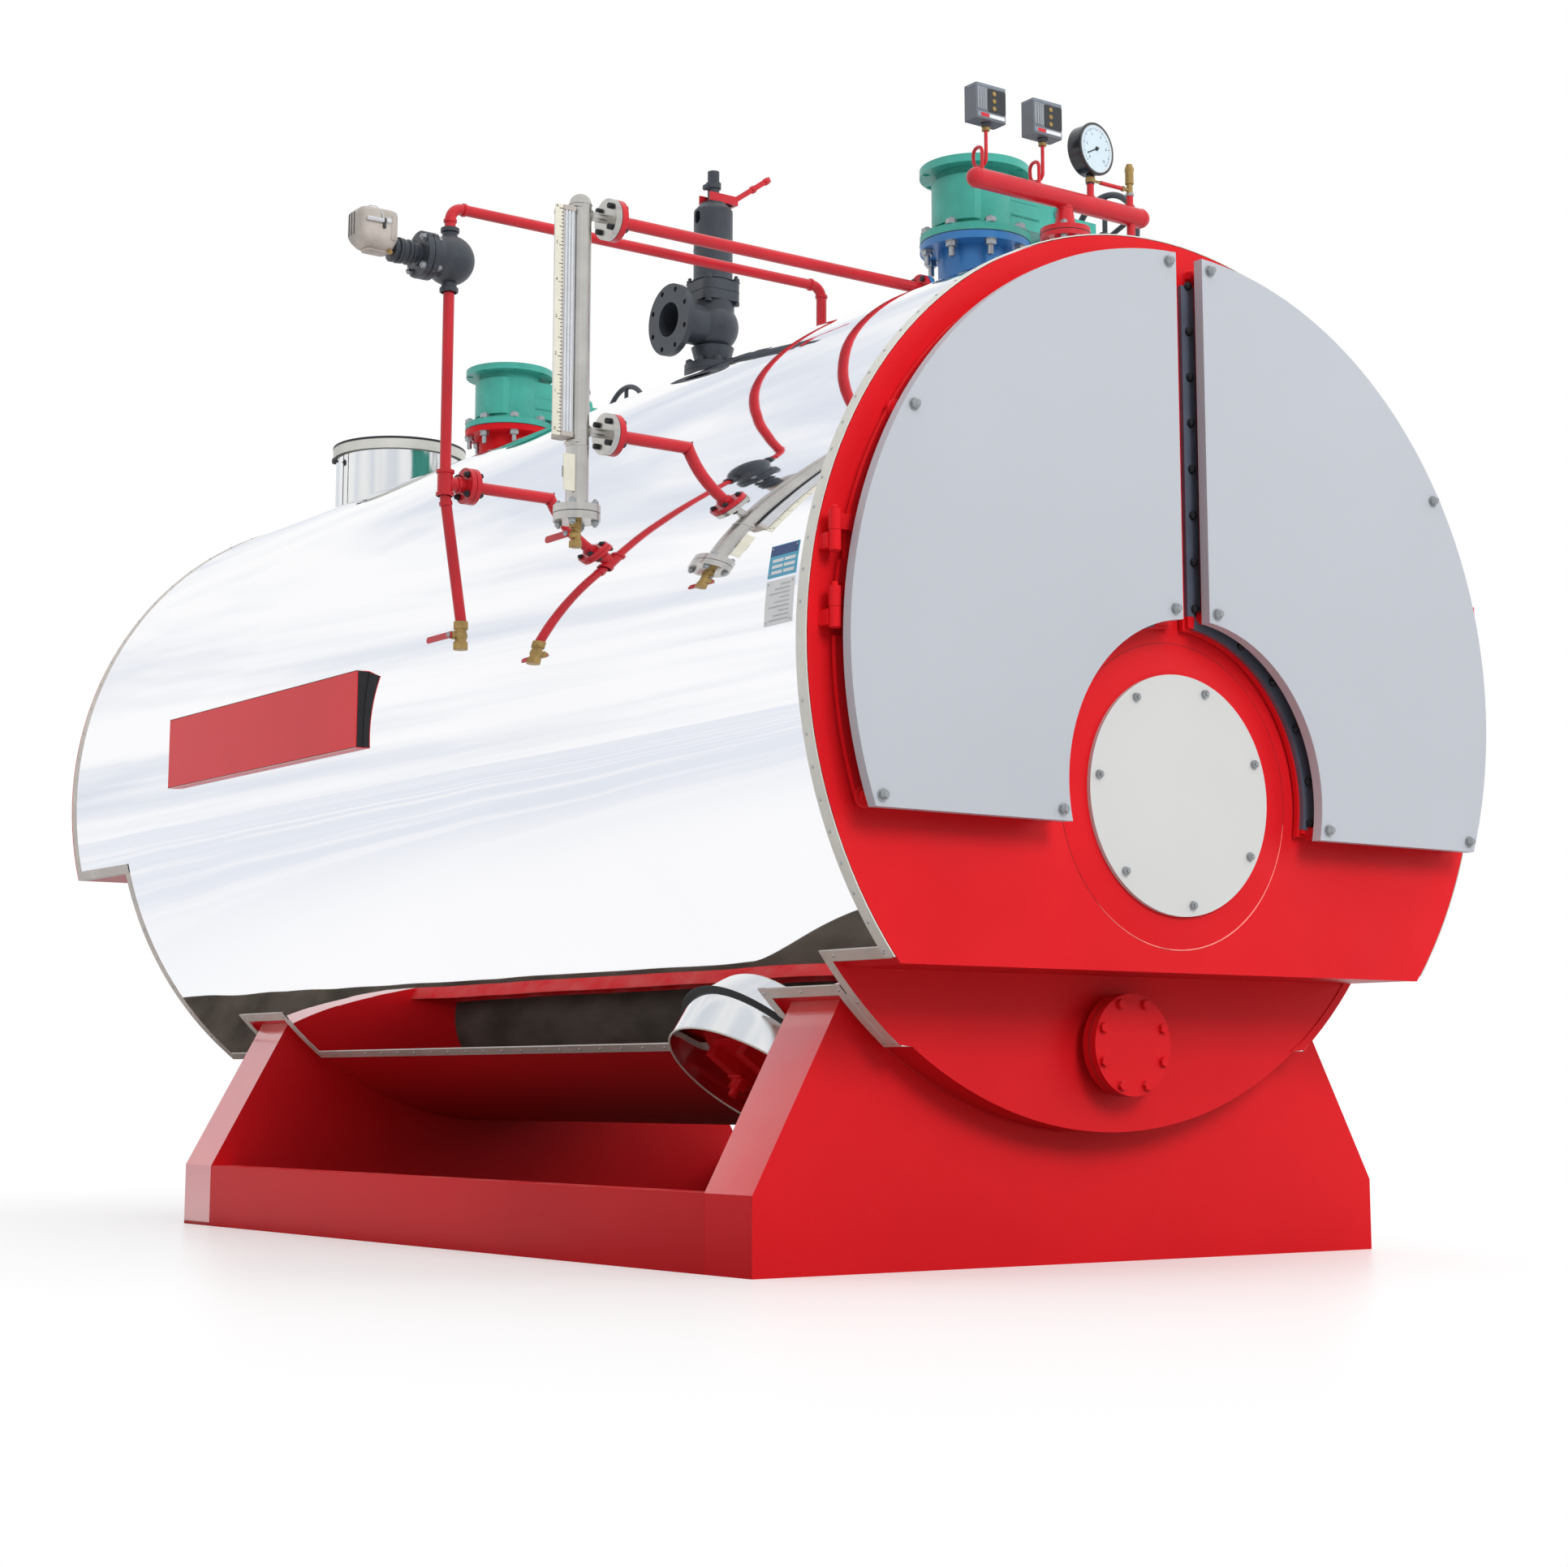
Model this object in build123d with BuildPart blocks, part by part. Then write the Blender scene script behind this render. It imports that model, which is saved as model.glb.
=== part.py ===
from build123d import *
import os
from math import cos, radians, sin, sqrt

os.makedirs("parts", exist_ok=True)

# A horizontal fire-tube steam boiler, in millimetres. X is to the right seen from the front,
# Y runs to the back and Z is up. The origin is under the middle of the front saddle, on the floor.

# Driving dimensions of the vessel
jacket_r = 1200  # outside of the polished jacket
jacket_t = 20  # insulation and sheet
shell_t = 16
head_t = 20  # tube plates
box_t = 12  # smoke box walls
face_t = 16  # smoke box end plates
axis_z = 1525  # boiler axis above the floor
drum_length = 3952
front_box_length = 253
rear_box_length = 460
front_box_drop = 768  # from the axis down to the flat underside
rear_box_drop = 297

# Base
saddle_inset = 211  # from the front tube plate to the middle of the front saddle
saddle_gap = 3167  # between the middles of the saddles
saddle_t = 208
saddle_top_x = 828  # where the sloping side meets the drum
base_half = 1100
rail_h = 200
rail_w = 80
rail_t = 8
rail_flange_t = 10

# Levels and planes that the rest is placed by
head_y = -saddle_inset
front_y = head_y - front_box_length
tail_y = head_y + drum_length
rear_y = tail_y + rear_box_length
front_cut_z = axis_z - front_box_drop
rear_cut_z = axis_z - rear_box_drop
crown_z = axis_z + jacket_r
shell_r = jacket_r - jacket_t
bore_r = shell_r - shell_t
rim_r = jacket_r - 2  # smoke box end plates
saddle_top_z = axis_z - sqrt(shell_r**2 - saddle_top_x**2)

# Clearances
pin_fit = 0.05  # radial, at every pin and stem
hole_gap = 2  # round a pipe in the jacket
gasket_t = 2
hinge_side_gap = 1  # between two knuckles of a hinge


def discs(plane, steps, mode=Mode.ADD):
    """Discs laid end to end along the plane's normal, each a radius and a length."""
    at = 0
    for radius, length in steps:
        with BuildSketch(plane.offset(at)) as outline:
            Circle(radius)
        extrude(outline.sketch, amount=length, mode=mode)
        at += length


def cone(plane, start_r, end_r, length):
    """A tapered neck along the plane's normal."""
    with BuildSketch(plane) as start:
        Circle(start_r)
    with BuildSketch(plane.offset(length)) as end:
        Circle(end_r)
    loft([start.sketch.faces()[0], end.sketch.faces()[0]])


def drilled(plane, radius, thick, bolt_r, count, hole_r, bore=0):
    """A flange standing on the plane, with its bolt holes and, if it has one, its bore."""
    with BuildSketch(plane) as outline:
        Circle(radius)
        with PolarLocations(bolt_r, count, start_angle=180 / count):
            Circle(hole_r, mode=Mode.SUBTRACT)
        if bore:
            Circle(bore, mode=Mode.SUBTRACT)
    extrude(outline.sketch, amount=thick)


def block(plane, width, height, length, corner=0, mode=Mode.ADD):
    """A bar along the plane's normal, with rounded corners where it has them."""
    with BuildSketch(plane) as outline:
        if corner:
            RectangleRounded(width, height, corner)
        else:
            Rectangle(width, height)
    extrude(outline.sketch, amount=length, mode=mode)


def pipe(points, radius, bend):
    """A round pipe along straight runs with rounded corners."""
    with BuildLine() as route:
        FilletPolyline(*points, radius=bend)
    way = Vector(*points[1]) - Vector(*points[0])
    with BuildSketch(Plane(points[0], z_dir=way)) as section:
        Circle(radius)
    sweep(section.sketch, path=route.wire())


def up(x, y, z):
    """A plane that faces up."""
    return Plane((x, y, z))


def left(x, y, z):
    """A plane that faces the left of the boiler."""
    return Plane((x, y, z), x_dir=(0, -1, 0), z_dir=(-1, 0, 0))


def right(x, y, z):
    """A plane that faces the right of the boiler."""
    return Plane((x, y, z), x_dir=(0, 1, 0), z_dir=(1, 0, 0))


def front(y, x=0, z=0):
    """A plane that faces the front of the boiler."""
    return Plane((x, y, z), x_dir=(1, 0, 0), z_dir=(0, -1, 0))


def clear_shell():
    """Cuts away what reaches inside the drum's outer wall."""
    discs(front(front_y, 0, axis_z), [(shell_r, front_y - rear_y)], Mode.SUBTRACT)


def beside(distance, radius):
    """How far a circle reaches, measured across a line at a distance from its middle."""
    return sqrt(radius**2 - distance**2)


# Side rails: channels between the saddles, open towards the middle
for side, name in ((-1, "left"), (1, "right")):
    with BuildPart() as rail:
        middle = side * (base_half - rail_w / 2)
        length = saddle_gap - saddle_t
        hollow_h = rail_h - 2 * rail_flange_t
        block(front(saddle_t / 2, middle, rail_h / 2), rail_w, rail_h, -length)
        block(
            front(saddle_t / 2, middle - side * rail_t, rail_h / 2),
            rail_w,
            hollow_h,
            -length,
            mode=Mode.SUBTRACT,
        )
    rail.part.label = f"rail_{name}"
    export_step(rail.part, f"parts/rail_{name}.step")

# Saddles: closed box supports, cut to the drum
for middle, name in ((0, "front"), (saddle_gap, "rear")):
    with BuildPart() as saddle:
        with BuildSketch(front(middle + saddle_t / 2)) as section:
            with BuildLine():
                Polyline(
                    (-base_half, 0),
                    (base_half, 0),
                    (base_half, rail_h),
                    (saddle_top_x, saddle_top_z),
                    (-saddle_top_x, saddle_top_z),
                    (-base_half, rail_h),
                    close=True,
                )
            make_face()
            with Locations((0, axis_z)):
                Circle(shell_r, mode=Mode.SUBTRACT)
        extrude(section.sketch, amount=saddle_t)
    saddle.part.label = f"saddle_{name}"
    export_step(saddle.part, f"parts/saddle_{name}.step")

# Flue outlet at the back, over the smoke box and the end of the drum
flue_back = 180  # behind the end of the drum
flue_y = tail_y + flue_back
flue_r = 250
flue_t = 6
flue_rise = 265
flue_bead_r = 7
flue_top_z = crown_z + flue_rise

# Drum shell
with BuildPart() as drum_shell:
    with BuildSketch(front(head_y, 0, axis_z)) as section:
        Circle(shell_r)
        Circle(bore_r, mode=Mode.SUBTRACT)
    extrude(section.sketch, amount=-drum_length)
    discs(up(0, flue_y, axis_z), [(flue_r - flue_t, jacket_r)], Mode.SUBTRACT)
drum_shell.part.label = "drum_shell"
export_step(drum_shell.part, "parts/drum_shell.step")

# Front tube plate with the handhole neck and its flange
handhole_drop = 951  # from the boiler axis
handhole_z = axis_z - handhole_drop
handhole_r = 135
handhole_neck_r = 84
handhole_t = 24
handhole_neck_l = 30
handhole_bolt_r = 115
handhole_hole_r = 9
handhole_bolts = 8
with BuildPart() as front_tube_plate:
    discs(front(head_y + head_t, 0, axis_z), [(bore_r, head_t)])
    discs(front(head_y, 0, handhole_z), [(handhole_neck_r, handhole_neck_l)])
    drilled(
        front(head_y - handhole_neck_l, 0, handhole_z),
        handhole_r,
        handhole_t,
        handhole_bolt_r,
        handhole_bolts,
        handhole_hole_r,
    )
front_tube_plate.part.label = "front_tube_plate"
export_step(front_tube_plate.part, "parts/front_tube_plate.step")

# Blind cover of the handhole
with BuildPart() as handhole_cover:
    drilled(
        front(head_y - handhole_neck_l - handhole_t, 0, handhole_z),
        handhole_r,
        handhole_t,
        handhole_bolt_r,
        handhole_bolts,
        handhole_hole_r,
    )
handhole_cover.part.label = "handhole_cover"
export_step(handhole_cover.part, "parts/handhole_cover.step")

# Rear tube plate, set in from the end of the drum so that the flue opening clears it
rear_inset = 90
with BuildPart() as rear_tube_plate:
    discs(front(tail_y - rear_inset, 0, axis_z), [(bore_r, head_t)])
rear_tube_plate.part.label = "rear_tube_plate"
export_step(rear_tube_plate.part, "parts/rear_tube_plate.step")

# Manhole on the lower left of the drum: its axis points down and out
manhole_angle = radians(55)
manhole_back = 611  # behind the front tube plate
manhole_y = head_y + manhole_back
manhole_out = jacket_r + 90  # from the boiler axis to the collar's rim
collar_r = 262
collar_t = 6
collar_foot_r = collar_r + 16
collar_foot_top = jacket_r + 30
manhole_way = (-cos(manhole_angle), 0, -sin(manhole_angle))


def manhole_plane(distance):
    """The plane across the manhole at a distance from the boiler axis."""
    place = (manhole_way[0] * distance, manhole_y, axis_z + manhole_way[2] * distance)
    return Plane(place, x_dir=(0, 1, 0), z_dir=manhole_way)


# Start of the manhole pieces, inside the drum wall, so that they can be cut to it
manhole_root = shell_r - 60

with BuildPart() as manhole_collar:
    discs(
        manhole_plane(manhole_root),
        [(collar_foot_r, collar_foot_top - manhole_root), (collar_r, manhole_out - collar_foot_top)],
    )
    discs(
        manhole_plane(manhole_root),
        [(collar_r - collar_t, manhole_out - manhole_root)],
        Mode.SUBTRACT,
    )
    clear_shell()
manhole_collar.part.label = "manhole_collar"
export_step(manhole_collar.part, "parts/manhole_collar.step")

# Manhole cover with its frame and two bridge bars
manhole_frame_r = 190
manhole_lid_r = 150
manhole_lid_t = 26
bridge_offset = 70
bridge_w = 36
bridge_length = 250
bridge_t = 34
manhole_frame_top = shell_r + 40
with BuildPart() as manhole_cover:
    discs(
        manhole_plane(manhole_root),
        [(manhole_frame_r, manhole_frame_top - manhole_root), (manhole_lid_r, manhole_lid_t)],
    )
    for offset in (-bridge_offset, bridge_offset):
        bridge_plane = manhole_plane(manhole_frame_top + manhole_lid_t)
        with BuildSketch(bridge_plane) as bar:
            with Locations((offset, 0)):
                Rectangle(bridge_w, bridge_length)
        extrude(bar.sketch, amount=bridge_t)
    clear_shell()
manhole_cover.part.label = "manhole_cover"
export_step(manhole_cover.part, "parts/manhole_cover.step")

# Places of the fittings, measured along the drum from its front end, the rear valve from its rear end
front_valve_back = 537
safety_back = 1907
manifold_back = 47
float_back = 1236
rear_valve_before = 692
front_valve_y = head_y + front_valve_back
rear_valve_y = tail_y - rear_valve_before
safety_y = head_y + safety_back
manifold_y = head_y + manifold_back
gauge_y = front_valve_y  # the level gauge hangs on the front nozzle
float_y = head_y + float_back
nozzle_r = 110
safety_neck_r = 48
manifold_neck_x = -85
manifold_neck_r = 30
post_x = 165
post_r = 12
float_pipe_x = -45
pipe_r = 17
balance_pipe_r = 16
gauge_low_rise = 640  # the lower pipes, above the boiler axis
float_low_rise = 623
gauge_low_z = axis_z + gauge_low_rise
float_low_z = axis_z + float_low_rise

# Polished jacket, cut in steps along its lower edge, with holes for the fittings
skirt_drop = 960  # from the boiler axis to the lower edge between the saddles
skirt_gap = 15  # over the smoke box underside
saddle_gap_z = 8  # over the top of a saddle
saddle_gap_y = 40  # before and behind a saddle
lower_z = axis_z - skirt_drop
over_saddle_z = saddle_top_z + saddle_gap_z
notch = saddle_t / 2 + saddle_gap_y
jacket_steps = [
    (front_y, head_y - gasket_t, front_cut_z + skirt_gap),
    (head_y - gasket_t, -notch, lower_z),
    (-notch, notch, over_saddle_z),
    (notch, saddle_gap - notch, lower_z),
    (saddle_gap - notch, saddle_gap + notch, over_saddle_z),
    (saddle_gap + notch, tail_y, lower_z),
    (tail_y, rear_y, rear_cut_z),
]
crown_holes = [
    (0, front_valve_y, nozzle_r),
    (0, rear_valve_y, nozzle_r),
    (0, safety_y, safety_neck_r),
    (0, flue_y, flue_r),
    (manifold_neck_x, manifold_y, manifold_neck_r),
    (post_x, manifold_y, post_r),
    (float_pipe_x, float_y, balance_pipe_r),
]
side_holes = [(gauge_y, gauge_low_z), (float_y, float_low_z)]
with BuildPart() as jacket:
    with BuildSketch(front(front_y + face_t, 0, axis_z)) as section:
        Circle(jacket_r)
        Circle(shell_r, mode=Mode.SUBTRACT)
    extrude(section.sketch, amount=-(rear_y - front_y - 2 * face_t))
    for start, end, cut_z in jacket_steps:
        block(front(start, 0, cut_z / 2), 2 * jacket_r, cut_z, start - end, mode=Mode.SUBTRACT)
    for x, y, radius in crown_holes:
        discs(up(x, y, axis_z), [(radius + hole_gap, 2 * jacket_r)], Mode.SUBTRACT)
    for y, z in side_holes:
        discs(left(0, y, z), [(pipe_r + hole_gap, 2 * jacket_r)], Mode.SUBTRACT)
    discs(manhole_plane(manhole_root), [(collar_foot_r + hole_gap, jacket_r)], Mode.SUBTRACT)
jacket.part.label = "jacket"
export_step(jacket.part, "parts/jacket.step")

# Band round the front rim of the jacket
band_t = 3
band_w = 40
with BuildPart() as rim_band:
    band_cut_z = front_cut_z + skirt_gap
    with BuildSketch(front(front_y, 0, axis_z)) as section:
        Circle(jacket_r + band_t)
        Circle(jacket_r, mode=Mode.SUBTRACT)
    extrude(section.sketch, amount=-band_w)
    block(front(front_y, 0, band_cut_z / 2), 3 * jacket_r, band_cut_z, -band_w, mode=Mode.SUBTRACT)
rim_band.part.label = "rim_band"
export_step(rim_band.part, "parts/rim_band.step")


def box_slice(plane, radius, cut_z, length, mode=Mode.ADD):
    """A length of smoke box: round about the boiler axis and flat underneath."""
    with BuildSketch(plane) as outline:
        with Locations((0, axis_z)):
            Circle(radius)
        with Locations((0, cut_z / 2)):
            Rectangle(3 * radius, cut_z, mode=Mode.SUBTRACT)
    extrude(outline.sketch, amount=length, mode=mode)


# Front smoke box: walls and floor
with BuildPart() as smoke_box_front:
    box_y = front_y + face_t
    box_length = head_y - box_y
    box_slice(front(box_y), shell_r, front_cut_z, -box_length)
    box_slice(front(box_y), shell_r - box_t, front_cut_z + box_t, -box_length, Mode.SUBTRACT)
smoke_box_front.part.label = "smoke_box_front"
export_step(smoke_box_front.part, "parts/smoke_box_front.step")

# Burner opening and the doors round it
burner_drop = 305  # from the boiler axis
burner_z = axis_z - burner_drop
burner_bore_r = 262
burner_seam_r = 405
burner_land_r = 330
burner_rise = 10
burner_cover_r = 318
burner_cover_t = 12
sleeve_t = 12
door_gap = 22  # half the gap between the door plates
door_r = jacket_r - 70
door_bottom_z = burner_z - 85
door_arc_r = burner_seam_r + 35
door_lift = 6  # from the front plate to the door plate
door_t = 14
doorway_inset = 70  # what the door plate covers all round
post_half = door_gap + 38  # half the width of the post between the doorways
tray_gap = 48
tray_r = jacket_r - 60
tray_bottom_z = door_bottom_z - 15
tray_arc_r = door_arc_r + 15
tray_out = 95  # from the front plate to the face of the tray
tray_depth = 30
tray_t = 4
tray_face_y = front_y - tray_out
stud_r = 14
stud_tip_r = 8
stud_tip_l = 18  # past the face of the tray, for its nut
stud_hole_r = 9
stud_inset = 28
stud_angle = radians(32)
hinge_x = jacket_r - 54
hinge_y = front_y - 42
hinge_r = 15
hinge_half = 50  # height of one knuckle
hinge_pin_r = 8
hinge_pin_tip = 8
hinge_rises = (260, 73)  # above the boiler axis
hinge_levels = [axis_z + rise for rise in hinge_rises]

# Sleeve from the burner through the smoke box to the tube plate
with BuildPart() as burner_sleeve:
    with BuildSketch(front(box_y, 0, burner_z)) as section:
        Circle(burner_seam_r)
        Circle(burner_seam_r - sleeve_t, mode=Mode.SUBTRACT)
    extrude(section.sketch, amount=-box_length)
burner_sleeve.part.label = "burner_sleeve"
export_step(burner_sleeve.part, "parts/burner_sleeve.step")

# Front plate: two doorways, the raised ring round the burner, the fixed hinge knuckles and pins
doorway_z = door_bottom_z + 55
doorway_arc_r = door_arc_r + 60
lug_w = 33
lug_h = hinge_half - 12
with BuildPart() as front_plate:
    box_slice(front(front_y), rim_r, front_cut_z, -face_t)
    with BuildSketch(front(front_y)) as doorways:
        with Locations((0, axis_z)):
            Circle(door_r - doorway_inset)
        with Locations((0, burner_z)):
            Circle(doorway_arc_r, mode=Mode.SUBTRACT)
        with Locations((0, doorway_z / 2)):
            Rectangle(3 * door_r, doorway_z, mode=Mode.SUBTRACT)
        with Locations((0, axis_z)):
            Rectangle(2 * post_half, 3 * door_r, mode=Mode.SUBTRACT)
    extrude(doorways.sketch, amount=-face_t, mode=Mode.SUBTRACT)
    cone(front(front_y, 0, burner_z), burner_seam_r, burner_land_r, burner_rise)
    discs(
        front(front_y + face_t, 0, burner_z),
        [(burner_bore_r, face_t + burner_rise)],
        Mode.SUBTRACT,
    )
    for side in (-1, 1):
        for level in hinge_levels:
            knuckle = up(side * hinge_x, hinge_y, level - hinge_half)
            discs(knuckle, [(hinge_r, hinge_half - hinge_side_gap)])
            discs(knuckle, [(hinge_pin_r, 2 * hinge_half + hinge_pin_tip)])
            lug_depth = front_y - hinge_y - hinge_pin_r
            lug_y = front_y - lug_depth / 2
            lug_plane = up(side * (hinge_x + 1), lug_y, level - hinge_half + 6)
            block(lug_plane, lug_w, lug_depth, lug_h)
front_plate.part.label = "front_plate"
export_step(front_plate.part, "parts/front_plate.step")

# Round cover over the burner opening
with BuildPart() as burner_cover:
    discs(front(front_y - burner_rise, 0, burner_z), [(burner_cover_r, burner_cover_t)])
burner_cover.part.label = "burner_cover"
export_step(burner_cover.part, "parts/burner_cover.step")


def door_slice(y, side, edges, length, mode=Mode.ADD):
    """A door's outline made solid: edges are the inner side, outer circle, bottom and burner arc."""
    edge_x, radius, bottom_z, arc_r = edges
    with BuildSketch(front(y)) as outline:
        with Locations((0, axis_z)):
            Circle(radius)
        with Locations((0, burner_z)):
            Circle(arc_r, mode=Mode.SUBTRACT)
        with Locations((side * (edge_x + radius), bottom_z + radius)):
            Rectangle(2 * radius, 2 * radius, mode=Mode.INTERSECT)
    extrude(outline.sketch, amount=length, mode=mode)


def grown(edges, amount):
    """The same door outline with every edge moved inwards."""
    edge_x, radius, bottom_z, arc_r = edges
    return edge_x + amount, radius - amount, bottom_z + amount, arc_r + amount


# Doors: plate, edge strip, stand-off studs and moving knuckles
strip_t = 12
strip_w = 45
strip_inset = 8
strip_r = door_r - 60
notch_w = 76
notch_margin = 15
leaf_w = 86
leaf_t = 20
leaf_h = hinge_half - 10
door_edges = (door_gap, door_r, door_bottom_z, door_arc_r)
tray_edges = (tray_gap, tray_r, tray_bottom_z, tray_arc_r)
strip_edges = (door_gap + strip_inset, strip_r, door_bottom_z + strip_inset, door_arc_r + strip_inset)
strip_hollow = (
    door_gap + strip_inset + strip_w,
    strip_r,
    door_bottom_z + strip_inset + strip_w,
    door_arc_r + strip_inset + strip_w,
)
door_y = front_y - door_lift
door_face_y = door_y - door_t
stud_length = door_face_y - tray_face_y - tray_t
stud_x = tray_gap + stud_inset
stud_low_z = tray_bottom_z + stud_inset
stud_ring_r = tray_r - stud_inset
stud_arc_r = tray_arc_r + stud_inset
stud_places = [
    (stud_x, axis_z + beside(stud_x, stud_ring_r)),
    (stud_ring_r * cos(stud_angle), axis_z + stud_ring_r * sin(stud_angle)),
    (stud_x, burner_z + beside(stud_x, stud_arc_r)),
    (beside(axis_z - stud_low_z, stud_ring_r), stud_low_z),
    (beside(burner_z - stud_low_z, stud_arc_r), stud_low_z),
]
for side, name in ((-1, "left"), (1, "right")):
    with BuildPart() as door:
        door_slice(door_y, side, door_edges, door_t)
        door_slice(door_face_y, side, strip_edges, strip_t)
        door_slice(door_face_y, side, strip_hollow, strip_t, Mode.SUBTRACT)
        for level in hinge_levels:
            notch_plane = up(side * (hinge_x - 10), door_y, level - hinge_half - notch_margin)
            notch_h = 2 * (hinge_half + notch_margin)
            block(notch_plane, notch_w, notch_w, notch_h, mode=Mode.SUBTRACT)
        for level in hinge_levels:
            leaf_plane = up(side * (hinge_x - leaf_w / 2), door_face_y - 4, level + 6)
            block(leaf_plane, leaf_w, leaf_t, leaf_h)
            knuckle = up(side * hinge_x, hinge_y, level)
            discs(knuckle, [(hinge_r, hinge_half)])
            discs(knuckle, [(hinge_pin_r + pin_fit, hinge_half)], Mode.SUBTRACT)
        for x, z in stud_places:
            stud_steps = [(stud_r, stud_length), (stud_tip_r, tray_t + stud_tip_l)]
            discs(front(door_face_y, side * x, z), stud_steps)
    door.part.label = f"door_{name}"
    export_step(door.part, f"parts/door_{name}.step")

    with BuildPart() as tray:
        door_slice(tray_face_y + tray_depth, side, tray_edges, tray_depth)
        hollow_depth = tray_depth - tray_t
        door_slice(
            tray_face_y + tray_depth,
            side,
            grown(tray_edges, tray_t),
            hollow_depth,
            Mode.SUBTRACT,
        )
        for x, z in stud_places:
            hole_plane = front(tray_face_y + tray_t, side * x, z)
            discs(hole_plane, [(stud_hole_r, tray_t)], Mode.SUBTRACT)
    tray.part.label = f"door_tray_{name}"
    export_step(tray.part, f"parts/door_tray_{name}.step")

# Rear smoke box and its end cover
with BuildPart() as smoke_box_rear:
    rear_length = rear_y - face_t - tail_y
    box_slice(front(tail_y), shell_r, rear_cut_z, -rear_length)
    box_slice(front(tail_y), shell_r - box_t, rear_cut_z + box_t, -rear_length, Mode.SUBTRACT)
    discs(up(0, flue_y, axis_z), [(flue_r - flue_t, jacket_r)], Mode.SUBTRACT)
smoke_box_rear.part.label = "smoke_box_rear"
export_step(smoke_box_rear.part, "parts/smoke_box_rear.step")

with BuildPart() as rear_plate:
    box_slice(front(rear_y), rim_r, rear_cut_z, face_t)
rear_plate.part.label = "rear_plate"
export_step(rear_plate.part, "parts/rear_plate.step")

# Flue outlet with its rolled rim
with BuildPart() as flue_outlet:
    discs(up(0, flue_y, axis_z), [(flue_r, flue_top_z - axis_z)])
    with BuildSketch(front(flue_y)) as bead:
        with Locations((flue_r + flue_bead_r - 2, flue_top_z - flue_bead_r)):
            Circle(flue_bead_r)
    revolve(bead.sketch, axis=Axis((0, flue_y, 0), (0, 0, 1)))
    discs(up(0, flue_y, axis_z), [(flue_r - flue_t, flue_top_z - axis_z)], Mode.SUBTRACT)
    clear_shell()
flue_outlet.part.label = "flue_outlet"
export_step(flue_outlet.part, "parts/flue_outlet.step")

# Steam stop valves: flanges, necks, a flat-sided body with its bonnet to the right, and a yoke
valve_rise_front = 193  # from the crown to the lower flange
valve_rise_rear = 168
valve_length = 230
valve_flange_r = 163
valve_flange_t = 24
valve_bolt_r = 147.5
valve_hole_r = 11
valve_bolts = 8
valve_bore_r = 100
valve_bore_depth = 60
valve_neck_r = 114
valve_neck_l = 22
valve_body_r = 128
valve_half = 98  # half the width between the flat sides
bonnet_joint_x = 236
bonnet_flange_t = 44
bonnet_flange_w = 224
bonnet_flange_h = 170
bonnet_top_x = 330
bonnet_w = 120
bonnet_h = 104
yoke_x = 430
yoke_bar_t = 14
yoke_bar_h = 40
yoke_bar_y = 50
yoke_end_t = 24
yoke_boss_r = 26
yoke_boss_l = 22
yoke_root = 10  # how far the bars reach into the bonnet
yoke_end_corner = 6
bonnet_flange_corner = 24
bonnet_corner = 30
stem_r = 14
stem_root_x = 262
stem_socket_x = 258
wheel_x = 520
wheel_r = 150
wheel_rim_r = 10
wheel_hub_r = 24
wheel_hub_l = 32
wheel_spoke_r = 8
wheel_spokes = 5
stem_tip_r = 12
stem_tip_l = 14

# Branch on the front nozzle for the level gauge
branch_x = -200
branch_flange_r = 40
branch_flange_t = 14
branch_gasket_r = 30
gauge_up_rise = 27  # above the crown
gauge_up_z = crown_z + gauge_up_rise


def valve_body(y, base_z):
    """The body between the flanges: round on the closed side, flat cheeks up to the bonnet."""
    low_z = base_z + valve_flange_t + valve_neck_l
    corner_x = beside(valve_half, valve_body_r)
    with BuildSketch(up(0, y, low_z)) as plan:
        with BuildLine():
            ThreePointArc((-corner_x, valve_half), (-valve_body_r, 0), (-corner_x, -valve_half))
            Polyline(
                (-corner_x, -valve_half),
                (bonnet_joint_x, -valve_half),
                (bonnet_joint_x, valve_half),
                (-corner_x, valve_half),
            )
        make_face()
    extrude(plan.sketch, amount=valve_length - 2 * (valve_flange_t + valve_neck_l))


def valve_flange(y, z):
    """One drilled end flange."""
    drilled(up(0, y, z), valve_flange_r, valve_flange_t, valve_bolt_r, valve_bolts, valve_hole_r)


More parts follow.
